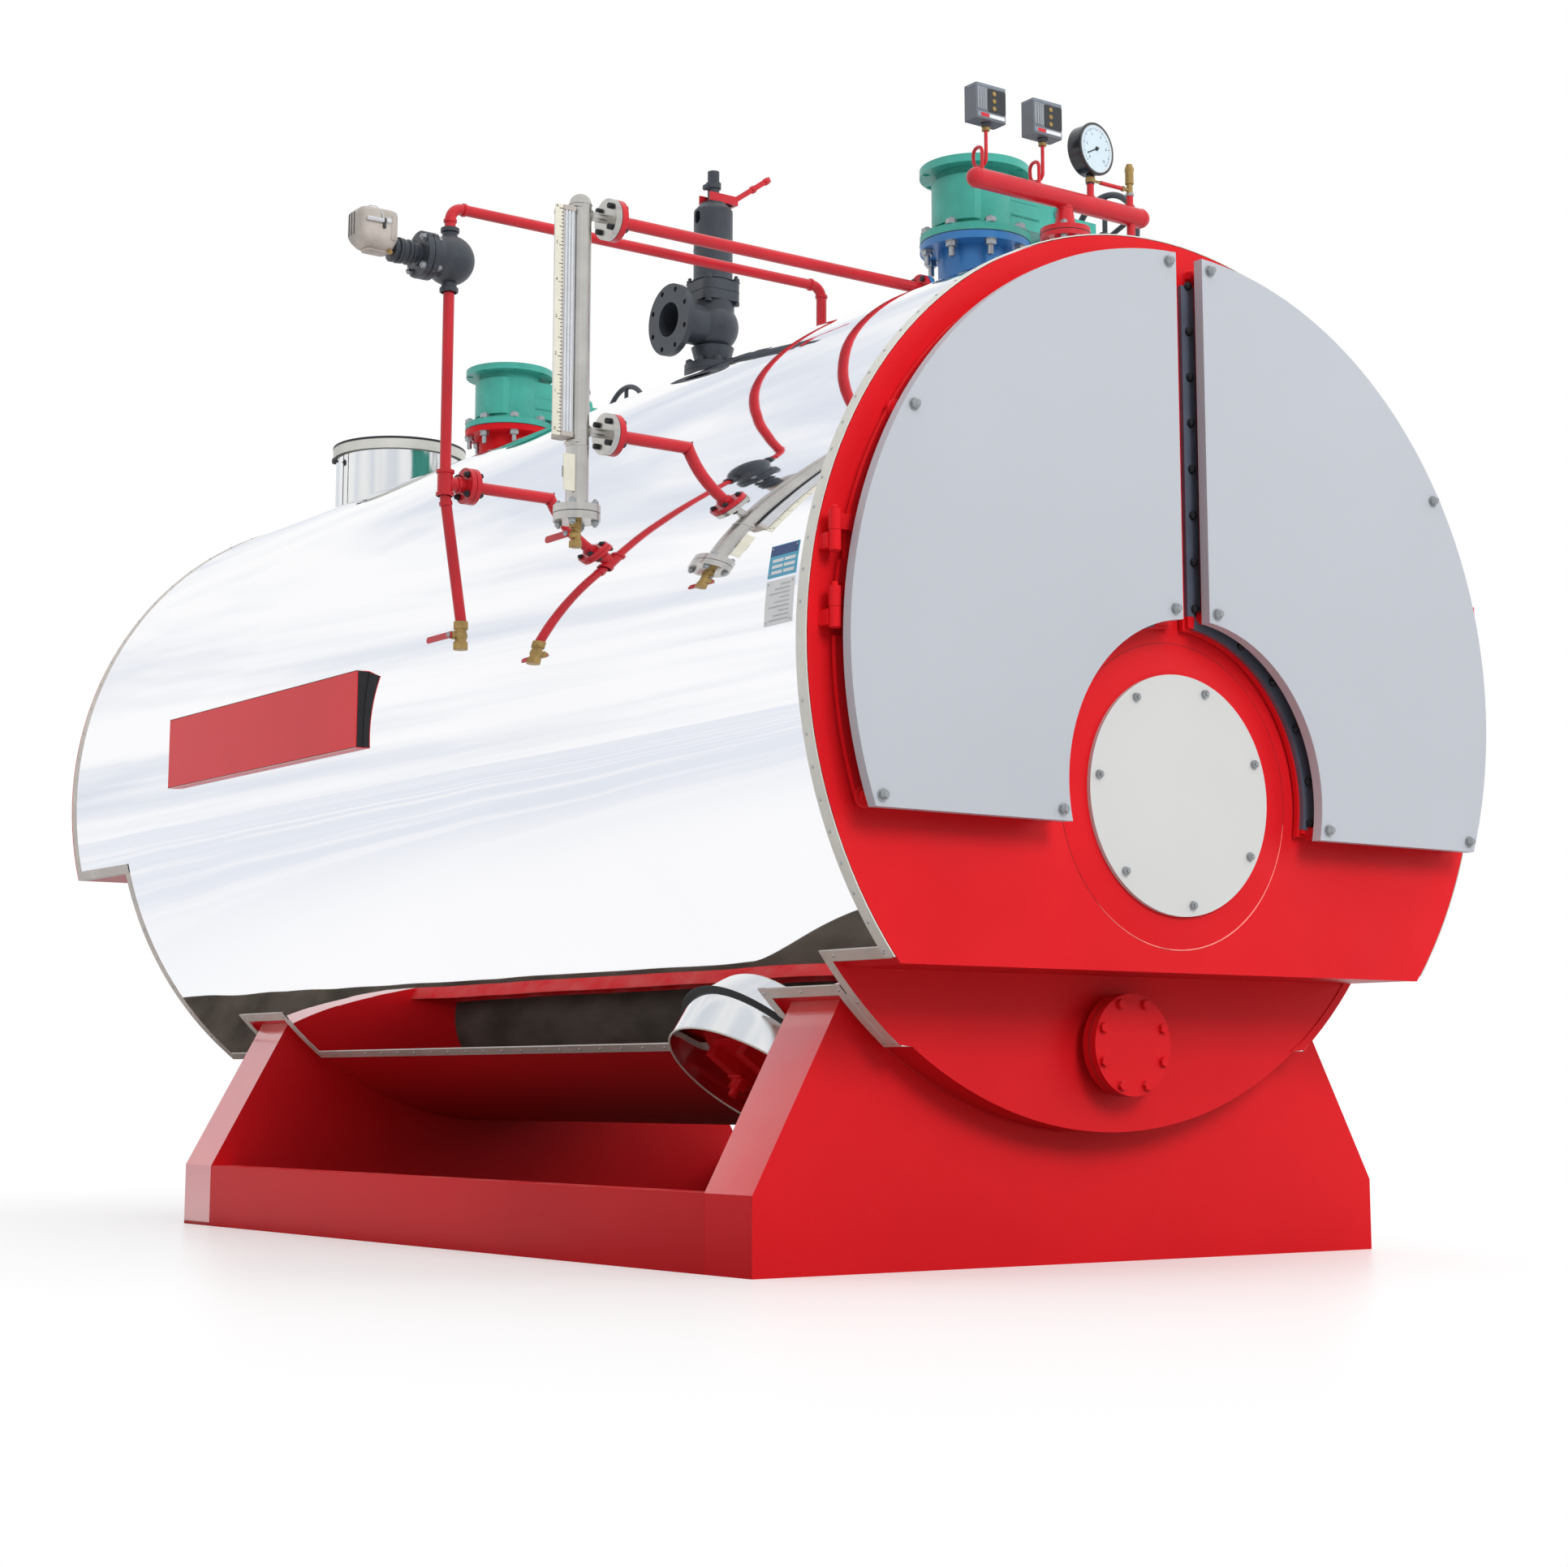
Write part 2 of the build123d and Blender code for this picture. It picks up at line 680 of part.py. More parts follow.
for name, y, rise in (
    ("front", front_valve_y, valve_rise_front),
    ("rear", rear_valve_y, valve_rise_rear),
):
    base_z = crown_z + rise
    with BuildPart() as nozzle:
        discs(up(0, y, axis_z), [(nozzle_r, base_z - axis_z - valve_flange_t)])
        valve_flange(y, base_z - valve_flange_t)
        if name == "front":
            branch_end = branch_x + branch_flange_t
            discs(left(0, y, gauge_up_z), [(pipe_r, -branch_end), (branch_flange_r, branch_flange_t)])
        clear_shell()
    nozzle.part.label = f"{name}_nozzle"
    export_step(nozzle.part, f"parts/{name}_nozzle.step")

    stem_z = base_z + valve_length / 2
    with BuildPart() as valve:
        discs(up(0, y, base_z + valve_flange_t), [(valve_neck_r, valve_length - 2 * valve_flange_t)])
        valve_body(y, base_z)
        valve_flange(y, base_z)
        valve_flange(y, base_z + valve_length - valve_flange_t)
        bonnet_flange = (bonnet_flange_w, bonnet_flange_h, bonnet_flange_t, bonnet_flange_corner)
        block(right(bonnet_joint_x, y, stem_z), *bonnet_flange)
        bonnet_l = bonnet_top_x - bonnet_joint_x
        block(right(bonnet_joint_x, y, stem_z), bonnet_w, bonnet_h, bonnet_l, bonnet_corner)
        for offset in (-yoke_bar_y, yoke_bar_y):
            bar_plane = right(bonnet_top_x - yoke_root, y + offset, stem_z)
            block(bar_plane, yoke_bar_t, yoke_bar_h, yoke_x - bonnet_top_x + yoke_root)
        end_plane = right(yoke_x - yoke_end_t, y, stem_z)
        block(end_plane, 2 * yoke_bar_y + yoke_bar_t, yoke_bar_h, yoke_end_t, yoke_end_corner)
        discs(right(yoke_x, y, stem_z), [(yoke_boss_r, yoke_boss_l)])
        socket_l = yoke_x + yoke_boss_l - stem_socket_x
        discs(right(stem_socket_x, y, stem_z), [(stem_r + pin_fit, socket_l)], Mode.SUBTRACT)
        bore_z = base_z + valve_length - valve_bore_depth
        discs(up(0, y, bore_z), [(valve_bore_r, valve_bore_depth)], Mode.SUBTRACT)
    valve.part.label = f"{name}_valve"
    export_step(valve.part, f"parts/{name}_valve.step")

    with BuildPart() as handwheel:
        hub_start = wheel_x - wheel_hub_l / 2
        discs(
            right(stem_root_x, y, stem_z),
            [(stem_r, hub_start - stem_root_x), (wheel_hub_r, wheel_hub_l), (stem_tip_r, stem_tip_l)],
        )
        wheel_centre = (wheel_x, y, stem_z)
        with BuildSketch(Plane(wheel_centre, x_dir=(0, 1, 0), z_dir=(0, 0, 1))) as ring:
            with Locations((wheel_r - wheel_rim_r, 0)):
                Circle(wheel_rim_r)
        revolve(ring.sketch, axis=Axis(wheel_centre, (1, 0, 0)))
        for number in range(wheel_spokes):
            turn = radians(360 * number / wheel_spokes)
            spoke = Plane(wheel_centre, x_dir=(1, 0, 0), z_dir=(0, sin(turn), cos(turn)))
            discs(spoke, [(wheel_spoke_r, wheel_r - wheel_rim_r)])
    handwheel.part.label = f"{name}_handwheel"
    export_step(handwheel.part, f"parts/{name}_handwheel.step")

# Safety valve: round body on its nozzle, outlet to the left, square flange under the bonnet
safety_base_rise = 105  # above the crown
safety_out_rise = 260
safety_joint_rise = 377
safety_base_z = crown_z + safety_base_rise
safety_out_z = crown_z + safety_out_rise
safety_joint_z = crown_z + safety_joint_rise
safety_flange_r = 95
safety_flange_t = 23
safety_body_r = 87
safety_throat_r = 72
safety_foot_r = 56
safety_foot_l = 60
outlet_flange_r = 121
outlet_x = -178
outlet_t = 22
outlet_neck_r = 68
outlet_bore_r = 58
outlet_bore_depth = 110
outlet_bolt_r = 102.5
outlet_bolts = 8
outlet_hole_r = 9
joint_side = 144
joint_corner = 30
joint_t = 34
with BuildPart() as safety_valve:
    neck_top = safety_base_z - safety_flange_t
    foot_steps = [(safety_neck_r, neck_top - axis_z), (safety_flange_r, 2 * safety_flange_t)]
    discs(up(0, safety_y, axis_z), foot_steps)
    cone(up(0, safety_y, neck_top + 2 * safety_flange_t), safety_foot_r, safety_throat_r, safety_foot_l)
    with Locations((0, safety_y, safety_out_z)):
        Sphere(safety_body_r)
    discs(up(0, safety_y, safety_out_z), [(safety_throat_r, safety_joint_z - safety_out_z)])
    block(up(0, safety_y, safety_joint_z - joint_t), joint_side, joint_side, joint_t, joint_corner)
    discs(left(0, safety_y, safety_out_z), [(outlet_neck_r, -outlet_x - outlet_t)])
    drilled(
        left(outlet_x + outlet_t, safety_y, safety_out_z),
        outlet_flange_r,
        outlet_t,
        outlet_bolt_r,
        outlet_bolts,
        outlet_hole_r,
    )
    outlet_end = outlet_x + outlet_bore_depth
    discs(left(outlet_end, safety_y, safety_out_z), [(outlet_bore_r, outlet_bore_depth)], Mode.SUBTRACT)
    clear_shell()
safety_valve.part.label = "safety_valve"
export_step(safety_valve.part, "parts/safety_valve.step")

# Safety valve bonnet with its window, shoulder, cap and the ear that carries the easing lever
spring_r = 66
spring_l = 252
shoulder_r = 50
shoulder_l = 20
cap_foot_l = 8
cap_r = 20
cap_low_l = 54
cap_collar_r = 26
cap_collar_l = 20
cap_top_l = 40
window_rise = 258  # above the joint
window_w = 30
window_h = 44
window_depth = 25
window_z = safety_joint_z + window_rise
ear_rise = 331
ear_x = 45
ear_z = safety_joint_z + ear_rise
ear_w = 26
ear_h = 40
ear_t = 36
ear_pin_r = 6
with BuildPart() as safety_bonnet:
    block(up(0, safety_y, safety_joint_z), joint_side, joint_side, joint_t, joint_corner)
    discs(up(0, safety_y, safety_joint_z + joint_t), [(spring_r, spring_l)])
    shoulder_z = safety_joint_z + joint_t + spring_l
    cone(up(0, safety_y, shoulder_z), spring_r, shoulder_r, shoulder_l)
    cap_steps = [
        (shoulder_r - 6, cap_foot_l),
        (cap_r, cap_low_l),
        (cap_collar_r, cap_collar_l),
        (cap_r, cap_top_l),
    ]
    discs(up(0, safety_y, shoulder_z + shoulder_l), cap_steps)
    with BuildSketch(left(window_depth - spring_r, safety_y, window_z)) as window:
        SlotCenterToCenter(window_h - window_w, window_w, rotation=90)
    extrude(window.sketch, amount=2 * window_depth, mode=Mode.SUBTRACT)
    block(front(safety_y + ear_t / 2, ear_x, ear_z - ear_h / 4), ear_w, ear_h, ear_t)
    pin_plane = front(safety_y + ear_t, ear_x, ear_z)
    discs(pin_plane, [(ear_pin_r + pin_fit, 2 * ear_t)], Mode.SUBTRACT)
safety_bonnet.part.label = "safety_bonnet"
export_step(safety_bonnet.part, "parts/safety_bonnet.step")

# Easing lever: a fork round the cap, a pin through the ear and an arm that rises to the right
fork_y = 27
cheek_t = 7
cheek_w = 112
cheek_h = 30
cheek_x = 20
fork_bridge_t = 12
arm_t = 16
arm_root = (68, 0)
arm_tip = (235, 120)
arm_h = 20
with BuildPart() as safety_lever:
    for offset in (-1, 1):
        cheek_y = safety_y + offset * (fork_y + cheek_t / 2) + cheek_t / 2
        block(front(cheek_y, cheek_x, ear_z), cheek_w, cheek_h, cheek_t)
    bridge_x = cheek_x + cheek_w / 2 - fork_bridge_t / 2 + 2
    bridge_y = safety_y + fork_y + cheek_t
    block(front(bridge_y, bridge_x, ear_z), fork_bridge_t, cheek_h, 2 * (fork_y + cheek_t))
    discs(front(safety_y + fork_y + 2, ear_x, ear_z), [(ear_pin_r, 2 * fork_y + 4)])
    with BuildSketch(front(safety_y + arm_t / 2)) as arm:
        with BuildLine():
            Polyline(
                (arm_root[0], ear_z + arm_root[1] - arm_h / 2),
                (arm_tip[0], ear_z + arm_tip[1] - arm_h / 2),
                (arm_tip[0] - arm_h / 2, ear_z + arm_tip[1] + arm_h / 4),
                (arm_root[0] - 2, ear_z + arm_root[1] + arm_h / 2),
                close=True,
            )
        make_face()
    extrude(arm.sketch, amount=arm_t)
safety_lever.part.label = "safety_lever"
export_step(safety_lever.part, "parts/safety_lever.step")

# Gauge manifold: header on its neck and post, with bosses and the two siphons
manifold_rise = 185  # above the crown
manifold_z = crown_z + manifold_rise
manifold_r = 28
header_left = -433
header_right = 228
neck_foot_rise = 67
neck_foot_z = crown_z + neck_foot_rise
neck_flange_t = 30
neck_flange_r = 70
neck_low_r = 32
neck_high_r = 17
switch_places = (-377, -172)
boss_r = 10
boss_l = 64
gauge_stub_x = 12
cock_x = 162
siphon_r = 5
siphon_bend = 20
siphon_half = 7  # half the step between the two legs of a siphon
siphon_root = 20  # start of a leg, above the header's middle
siphon_shift = (-3, 1)  # how the loop steps across behind the legs
siphon_depth = 44
siphon_low = 42
siphon_high = 95
switch_rise = 142
with BuildPart() as gauge_manifold:
    ends = (header_left + manifold_r, header_right - manifold_r)
    discs(right(ends[0], manifold_y, manifold_z), [(manifold_r, ends[1] - ends[0])])
    for x in ends:
        with Locations((x, manifold_y, manifold_z)):
            Sphere(manifold_r)
    neck_start = neck_foot_z + neck_flange_t
    discs(
        up(manifold_neck_x, manifold_y, axis_z),
        [(manifold_neck_r, neck_foot_z - axis_z), (neck_flange_r, neck_flange_t)],
    )
    cone(up(manifold_neck_x, manifold_y, neck_start), neck_low_r, neck_high_r, manifold_z - neck_start)
    discs(up(post_x, manifold_y, axis_z), [(post_r, manifold_z - axis_z)])
    for x in (gauge_stub_x, cock_x):
        discs(up(x, manifold_y, manifold_z), [(boss_r, boss_l)])
    for x in switch_places:
        siphon = [
            (x - siphon_half, manifold_y, manifold_z + siphon_root),
            (x - siphon_half, manifold_y, manifold_z + siphon_high),
            (x + siphon_shift[0], manifold_y + siphon_depth, manifold_z + siphon_high),
            (x + siphon_shift[1], manifold_y + siphon_depth, manifold_z + siphon_low),
            (x + siphon_half, manifold_y, manifold_z + siphon_low),
            (x + siphon_half, manifold_y, manifold_z + switch_rise),
        ]
        pipe(siphon, siphon_r, siphon_bend)
    clear_shell()
gauge_manifold.part.label = "gauge_manifold"
export_step(gauge_manifold.part, "parts/gauge_manifold.step")

# Pressure switches on the siphons
switch_z = manifold_z + switch_rise
switch_nut_r = 9
switch_nut_l = 18
switch_w = 106
switch_depth = 54
switch_h = 100
switch_corner = 5
switch_shift = -2  # case against its nut
for number, x in enumerate(switch_places, start=1):
    with BuildPart() as switch:
        discs(up(x + siphon_half, manifold_y, switch_z), [(switch_nut_r, switch_nut_l)])
        case_plane = up(x + siphon_half + switch_shift, manifold_y, switch_z + switch_nut_l)
        block(case_plane, switch_w, switch_depth, switch_h, switch_corner)
    switch.part.label = f"pressure_switch_{number}"
    export_step(switch.part, f"parts/pressure_switch_{number}.step")

# Pressure gauge, turned a little to the right of straight ahead
dial_rise = 162  # from the header to the middle of the dial
dial_r = 75
dial_t = 46
dial_back = 22
dial_turn = radians(9)
bezel_t = 8
bezel_lip = 3
stalk_r = 8
stalk_root = 6  # how far the stalk reaches into the case
nut_r = 12
nut_l = 24
with BuildPart() as pressure_gauge:
    nut_z = manifold_z + boss_l
    dial_z = manifold_z + dial_rise
    throat = dial_z - dial_r + stalk_root - nut_z - nut_l
    discs(up(gauge_stub_x, manifold_y, nut_z), [(nut_r, nut_l), (stalk_r, throat)])
    way = (sin(dial_turn), -cos(dial_turn), 0)
    back = (gauge_stub_x - dial_back * way[0], manifold_y - dial_back * way[1], dial_z)
    face = Plane(back, z_dir=way, x_dir=(cos(dial_turn), sin(dial_turn), 0))
    discs(face, [(dial_r - bezel_lip, dial_t - bezel_t), (dial_r, bezel_t)])
pressure_gauge.part.label = "pressure_gauge"
export_step(pressure_gauge.part, "parts/pressure_gauge.step")

# Gauge cock, with the link pipe to the gauge's connection
cock_stem_r = 9
cock_body_r = 12
cock_foot_l = 30
cock_body_l = 50
cock_top_l = 8
link_r = 4
link_boss_r = 5
link_boss_l = 22
with BuildPart() as gauge_cock:
    body_steps = [(cock_stem_r, cock_foot_l), (cock_body_r, cock_body_l), (cock_stem_r, cock_top_l)]
    discs(up(cock_x, manifold_y, manifold_z + boss_l), body_steps)
    link_l = cock_x - gauge_stub_x - link_boss_l - nut_r
    link_steps = [(link_boss_r, link_boss_l), (link_r, link_l)]
    discs(left(cock_x, manifold_y, manifold_z + boss_l + nut_l / 2), link_steps)
gauge_cock.part.label = "gauge_cock"
export_step(gauge_cock.part, "parts/gauge_cock.step")

# Level gauge pipes, each with a welded flange on a short hub
gauge_out = 162  # from the jacket to the middle of the chamber
gauge_x = -(jacket_r + gauge_out)
joint_out = 65  # from the jacket to the gasket between the red and the bright flanges
joint_x = -(jacket_r + joint_out)
flange_r = 56
flange_t = 18
hub_r = 22
hub_l = 20
gasket_r = 46


def gauge_pipe(start_x, z):
    """A pipe from a start on the drum's side out to the gasket of the level gauge."""
    run = start_x - joint_x - flange_t - hub_l - gasket_t
    steps = [(pipe_r, run), (hub_r, hub_l), (flange_r, flange_t), (gasket_r, gasket_t)]
    discs(left(start_x, gauge_y, z), steps)


with BuildPart() as level_pipe_upper:
    branch_steps = [(branch_gasket_r, gasket_t), (branch_flange_r, branch_flange_t)]
    discs(left(branch_x, gauge_y, gauge_up_z), branch_steps)
    gauge_pipe(branch_x - gasket_t - branch_flange_t, gauge_up_z)
level_pipe_upper.part.label = "level_pipe_upper"
export_step(level_pipe_upper.part, "parts/level_pipe_upper.step")

with BuildPart() as level_pipe_lower:
    gauge_pipe(0, gauge_low_z)
    clear_shell()
level_pipe_lower.part.label = "level_pipe_lower"
export_step(level_pipe_lower.part, "parts/level_pipe_lower.step")

# Level gauge chamber, with its two side flanges and the closed pair at the bottom
gauge_r = 30
chamber_below = 205  # under the lower pipe
chamber_above = 23
side_pipe_r = 13
drain_flange_r = 62
drain_flange_t = 20
drain_gasket_r = 50
chamber_low_z = gauge_low_z - chamber_below
chamber_top_z = gauge_up_z + chamber_above
drain_top_z = chamber_low_z - 2 * drain_flange_t - gasket_t
with BuildPart() as level_chamber:
    discs(up(gauge_x, gauge_y, chamber_low_z), [(gauge_r, chamber_top_z - chamber_low_z)])
    with Locations((gauge_x, gauge_y, chamber_top_z)):
        Sphere(gauge_r)
    for z in (gauge_up_z, gauge_low_z):
        side_run = joint_x - flange_t - gauge_x
        discs(right(gauge_x, gauge_y, z), [(side_pipe_r, side_run), (flange_r, flange_t)])
    discs(
        up(gauge_x, gauge_y, drain_top_z),
        [(drain_flange_r, drain_flange_t), (drain_gasket_r, gasket_t), (drain_flange_r, drain_flange_t)],
    )
level_chamber.part.label = "level_chamber"
export_step(level_chamber.part, "parts/level_chamber.step")

# Indicator rail and scale strip of the level gauge
indicator_t = 35
indicator_w = 48
scale_w = 26
scale_t = 3
scale_x = gauge_x - gauge_r - indicator_t - scale_w / 2 + 1
indicator_below = 29  # past the lower pipe
indicator_above = 4
indicator_low_z = gauge_low_z - indicator_below
indicator_length = gauge_up_z + indicator_above - indicator_low_z
with BuildPart() as level_indicator:
    indicator_x = gauge_x - gauge_r - indicator_t / 2
    block(up(indicator_x, gauge_y, indicator_low_z), indicator_t, indicator_w, indicator_length)
    scale_y = gauge_y - indicator_w / 2 + scale_t / 2
    block(up(scale_x, scale_y, indicator_low_z), scale_w, scale_t, indicator_length)
level_indicator.part.label = "level_indicator"
export_step(level_indicator.part, "parts/level_indicator.step")

# Float switch places
float_out = 170  # from the jacket to the middle of the float body
float_up_rise = 231  # above the crown
float_body_rise = 73
float_body_half = 95  # from the middle of the body to its ends
float_drain_out = 111  # foot of the leaning drain leg, from the jacket
float_drain_rise = 232  # above the boiler axis
float_x = -(jacket_r + float_out)
float_up_z = crown_z + float_up_rise
float_body_z = crown_z + float_body_rise
float_body_r = 72
float_top_z = float_body_z + float_body_half
float_foot_z = float_body_z - float_body_half
float_drain_x = -(jacket_r + float_drain_out)
float_drain_z = axis_z + float_drain_rise

# Drain valves under the gauge and the float, with their levers
lever_t = 4
lever_w = 18
stem_out = 12  # from the valve body to the lever
drain_end_share = 0.28  # of the height, each hexagon end
drain_waist_share = 0.82  # of the radius
drain_stem_share = 0.55
for name, x, y, z, radius, height, reach in (
    ("level", gauge_x, gauge_y, drain_top_z, 14, 68, 100),
    ("float", float_drain_x, float_y, float_drain_z, 20, 80, 125),
):
    end_l = height * drain_end_share
    with BuildPart() as drain:
        body_steps = [(radius, end_l), (radius * drain_waist_share, height - 2 * end_l), (radius, end_l)]
        discs(up(x, y, z - height), body_steps)
        discs(left(x, y, z - height / 2), [(radius * drain_stem_share, radius + stem_out)])
    drain.part.label = f"{name}_drain"
    export_step(drain.part, f"parts/{name}_drain.step")

    with BuildPart() as lever:
        with BuildSketch(left(x - radius - stem_out, y, z - height / 2)) as outline:
            with Locations((-reach / 2, 0)):
                SlotCenterToCenter(reach, lever_w)
        extrude(outline.sketch, amount=lever_t)
    lever.part.label = f"{name}_drain_lever"
    export_step(lever.part, f"parts/{name}_drain_lever.step")

# Float switch: balance pipe from the crown
balance_bend = 38
with BuildPart() as float_pipe_upper:
    balance_route = [
        (float_pipe_x, float_y, crown_z - 2 * jacket_t),
        (float_pipe_x, float_y, float_up_z),
        (float_x, float_y, float_up_z),
        (float_x, float_y, float_top_z),
    ]
    pipe(balance_route, balance_pipe_r, balance_bend)
    clear_shell()
float_pipe_upper.part.label = "float_pipe_upper"
export_step(float_pipe_upper.part, "parts/float_pipe_upper.step")

# Float body with its flanged neck
neck_flange = (68, 18)  # radius and thickness
float_neck = (60, 62)  # radius and length
float_gasket_r = 62
float_end_x = float_x - float_neck[1] - 2 * neck_flange[1] - gasket_t
with BuildPart() as float_body:
    with Locations((float_x, float_y, float_body_z)):
        Sphere(float_body_r)
    discs(up(float_x, float_y, float_foot_z), [(hub_r, float_top_z - float_foot_z)])
    neck_steps = [float_neck, neck_flange, (float_gasket_r, gasket_t), neck_flange]
    discs(left(float_x, float_y, float_body_z), neck_steps)
float_body.part.label = "float_body"
export_step(float_body.part, "parts/float_body.step")

# Switch head on its ribbed neck
head_w = 120
head_h = 166
head_depth = 156
head_rise = 34
head_corner = 20
head_ribs = [(30, 20), (24, 10), (30, 12), (24, 19)]  # radius and length
with BuildPart() as float_head:
    discs(left(float_end_x, float_y, float_body_z), head_ribs)
    head_x = float_end_x - sum(length for radius, length in head_ribs)
    block(left(head_x, float_y, float_body_z + head_rise), head_w, head_h, head_depth, head_corner)
float_head.part.label = "float_head"
export_step(float_head.part, "parts/float_head.step")

# Column under the float: tee, flange pair and pipe to the drum, and the leaning drain leg
tee_half = 38
column_flange_r = 52
column_flange_t = 15
tee_side_r = 20
tee_side_l = 60
column_hub_l = 18
leg_root = 6  # how far the leg starts inside the tee
with BuildPart() as float_column:
    tee_top_z = float_low_z + tee_half
    tee_low_z = float_low_z - tee_half
    tee_steps = [(hub_r, 2 * tee_half), (balance_pipe_r, float_foot_z - tee_top_z)]
    discs(up(float_x, float_y, tee_low_z), tee_steps)
    column_flange = (column_flange_r, column_flange_t)
    flange_pair = [column_flange, (gasket_r, gasket_t), column_flange]
    side_steps = [(tee_side_r, tee_side_l), *flange_pair, (hub_r, column_hub_l), (pipe_r, jacket_r)]
    discs(right(float_x, float_y, float_low_z), side_steps)
    leg_top_z = tee_low_z + leg_root
    leg_fall = leg_top_z - float_drain_z
    leg_lean = float_drain_x - float_x
    leg = Plane((float_x, float_y, leg_top_z), x_dir=(0, 1, 0), z_dir=(leg_lean, 0, -leg_fall))
    discs(leg, [(balance_pipe_r, sqrt(leg_lean**2 + leg_fall**2) + 10)])
    discs(up(float_drain_x, float_y, float_drain_z - 40), [(60, 40)], Mode.SUBTRACT)
    clear_shell()
float_column.part.label = "float_column"
export_step(float_column.part, "parts/float_column.step")

# Name board on the left of the jacket, bare: a folded sheet, open at both ends
board_out = 62  # from the side of the jacket to the face of the board
board_back = 1982  # from the front tube plate to its near end
board_start_y = head_y + board_back
board_length = 1420
board_drop = 45  # below the boiler axis
board_rise = 187
board_low_z = axis_z - board_drop
board_high_z = axis_z + board_rise
board_t = 5
board_root = 100  # depth behind the side of the jacket, cut away by it
with BuildPart() as name_board:
    board_x = -(jacket_r + (board_out - board_root) / 2)
    board_y = board_start_y + board_length / 2
    board_h = board_high_z - board_low_z
    board_depth = board_out + board_root
    block(up(board_x, board_y, board_low_z), board_depth, board_length, board_h)
    inside = up(board_x + board_t, board_y, board_low_z + board_t)
    block(inside, board_depth, board_length, board_h - 2 * board_t, mode=Mode.SUBTRACT)
    discs(front(front_y, 0, axis_z), [(jacket_r, front_y - rear_y)], Mode.SUBTRACT)
name_board.part.label = "name_board"
export_step(name_board.part, "parts/name_board.step")
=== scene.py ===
# %% [markdown]
# An industrial fire-tube boiler: a red base, a mirror-polished jacket, two grey door covers in front
# and a row of valves and gauges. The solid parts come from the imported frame. This file gives them
# their finishes and adds what is too small for the frame: bolts, strips, dials and welds.

import math

import bmesh
import bpy
import numpy as np
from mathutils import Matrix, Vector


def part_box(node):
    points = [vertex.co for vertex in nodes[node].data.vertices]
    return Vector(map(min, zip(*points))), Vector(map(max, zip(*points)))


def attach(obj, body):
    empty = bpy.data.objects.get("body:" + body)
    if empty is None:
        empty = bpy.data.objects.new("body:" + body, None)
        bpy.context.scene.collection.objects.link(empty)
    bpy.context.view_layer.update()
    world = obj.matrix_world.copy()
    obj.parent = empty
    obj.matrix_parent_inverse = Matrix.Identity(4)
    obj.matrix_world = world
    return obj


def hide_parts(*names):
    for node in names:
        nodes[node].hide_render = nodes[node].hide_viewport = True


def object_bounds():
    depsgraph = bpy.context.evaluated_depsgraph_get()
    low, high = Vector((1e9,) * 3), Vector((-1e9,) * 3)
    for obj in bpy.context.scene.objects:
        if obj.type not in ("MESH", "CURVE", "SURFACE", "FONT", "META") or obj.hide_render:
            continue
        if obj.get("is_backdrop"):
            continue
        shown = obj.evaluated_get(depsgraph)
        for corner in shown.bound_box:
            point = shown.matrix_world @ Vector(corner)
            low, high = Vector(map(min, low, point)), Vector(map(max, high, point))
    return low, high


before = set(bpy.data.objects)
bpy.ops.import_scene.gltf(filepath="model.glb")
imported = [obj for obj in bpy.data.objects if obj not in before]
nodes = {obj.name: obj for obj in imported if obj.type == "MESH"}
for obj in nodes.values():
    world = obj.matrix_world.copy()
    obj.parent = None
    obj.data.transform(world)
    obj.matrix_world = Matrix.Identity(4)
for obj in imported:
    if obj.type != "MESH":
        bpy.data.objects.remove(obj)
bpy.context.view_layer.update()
MM = 0.001  # every shape below is worked out in millimetres and made in metres
UP, DOWN = (0, 0, 1), (0, 0, -1)
FRONT, BACK = (0, -1, 0), (0, 1, 0)
LEFT, RIGHT = (-1, 0, 0), (1, 0, 0)


def corners(node):
    """Lowest and highest corner of a frame node, in millimetres."""
    low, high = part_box(node)
    return np.array(low) / MM, np.array(high) / MM


jacket_low, jacket_high = corners("jacket")
jacket_r = (jacket_high[0] - jacket_low[0]) / 2
axis_z = jacket_high[2] - jacket_r
END_PLATE = 16  # thickness of the front plate and of the rear plate, which close the jacket's ends
face_y = corners("smoke_box_front")[0][1] - END_PLATE
print("jacket radius", round(jacket_r), "axis", round(axis_z), "front face", round(face_y))

# %% [markdown]
# Every added piece is a surface worked out as an array. The helpers make the few kinds that come
# back again and again: a grid closed into a skin, a turned shape, a lofted bar and a bent tube.
# Working with arrays keeps each shape a formula, so a size can be changed without touching vertices.


# %% Skins and lofted bars
def skin(points, close_u=False, close_v=False):
    """Joins a grid of points (rows u, columns v) into four-sided faces; closing wraps a direction."""
    rows, columns = points.shape[:2]
    u = np.arange(rows if close_u else rows - 1)[:, None]
    v = np.arange(columns if close_v else columns - 1)[None]
    next_u, next_v = (u + 1) % rows, (v + 1) % columns
    faces = [u * columns + v, u * columns + next_v, next_u * columns + next_v, next_u * columns + v]
    return points.reshape(-1, 3), np.stack(faces, -1).reshape(-1, 4)


def loft(rings):
    """A closed bar through rings of points: the skin between them, and a fan of faces at each end."""
    rings = np.asarray(rings, float)
    count = rings.shape[1]
    points, faces = skin(rings, close_v=True)
    v = np.arange(count)
    after = (v + 1) % count
    last = (len(rings) - 1) * count
    middle, none = np.full(count, len(points)), np.full(count, -1)
    first_fan = np.stack([middle, after, v, none], -1)
    last_fan = np.stack([middle + 1, last + v, last + after, none], -1)
    return np.vstack([points, rings[[0, -1]].mean(1)]), np.vstack([faces, first_fan, last_fan])


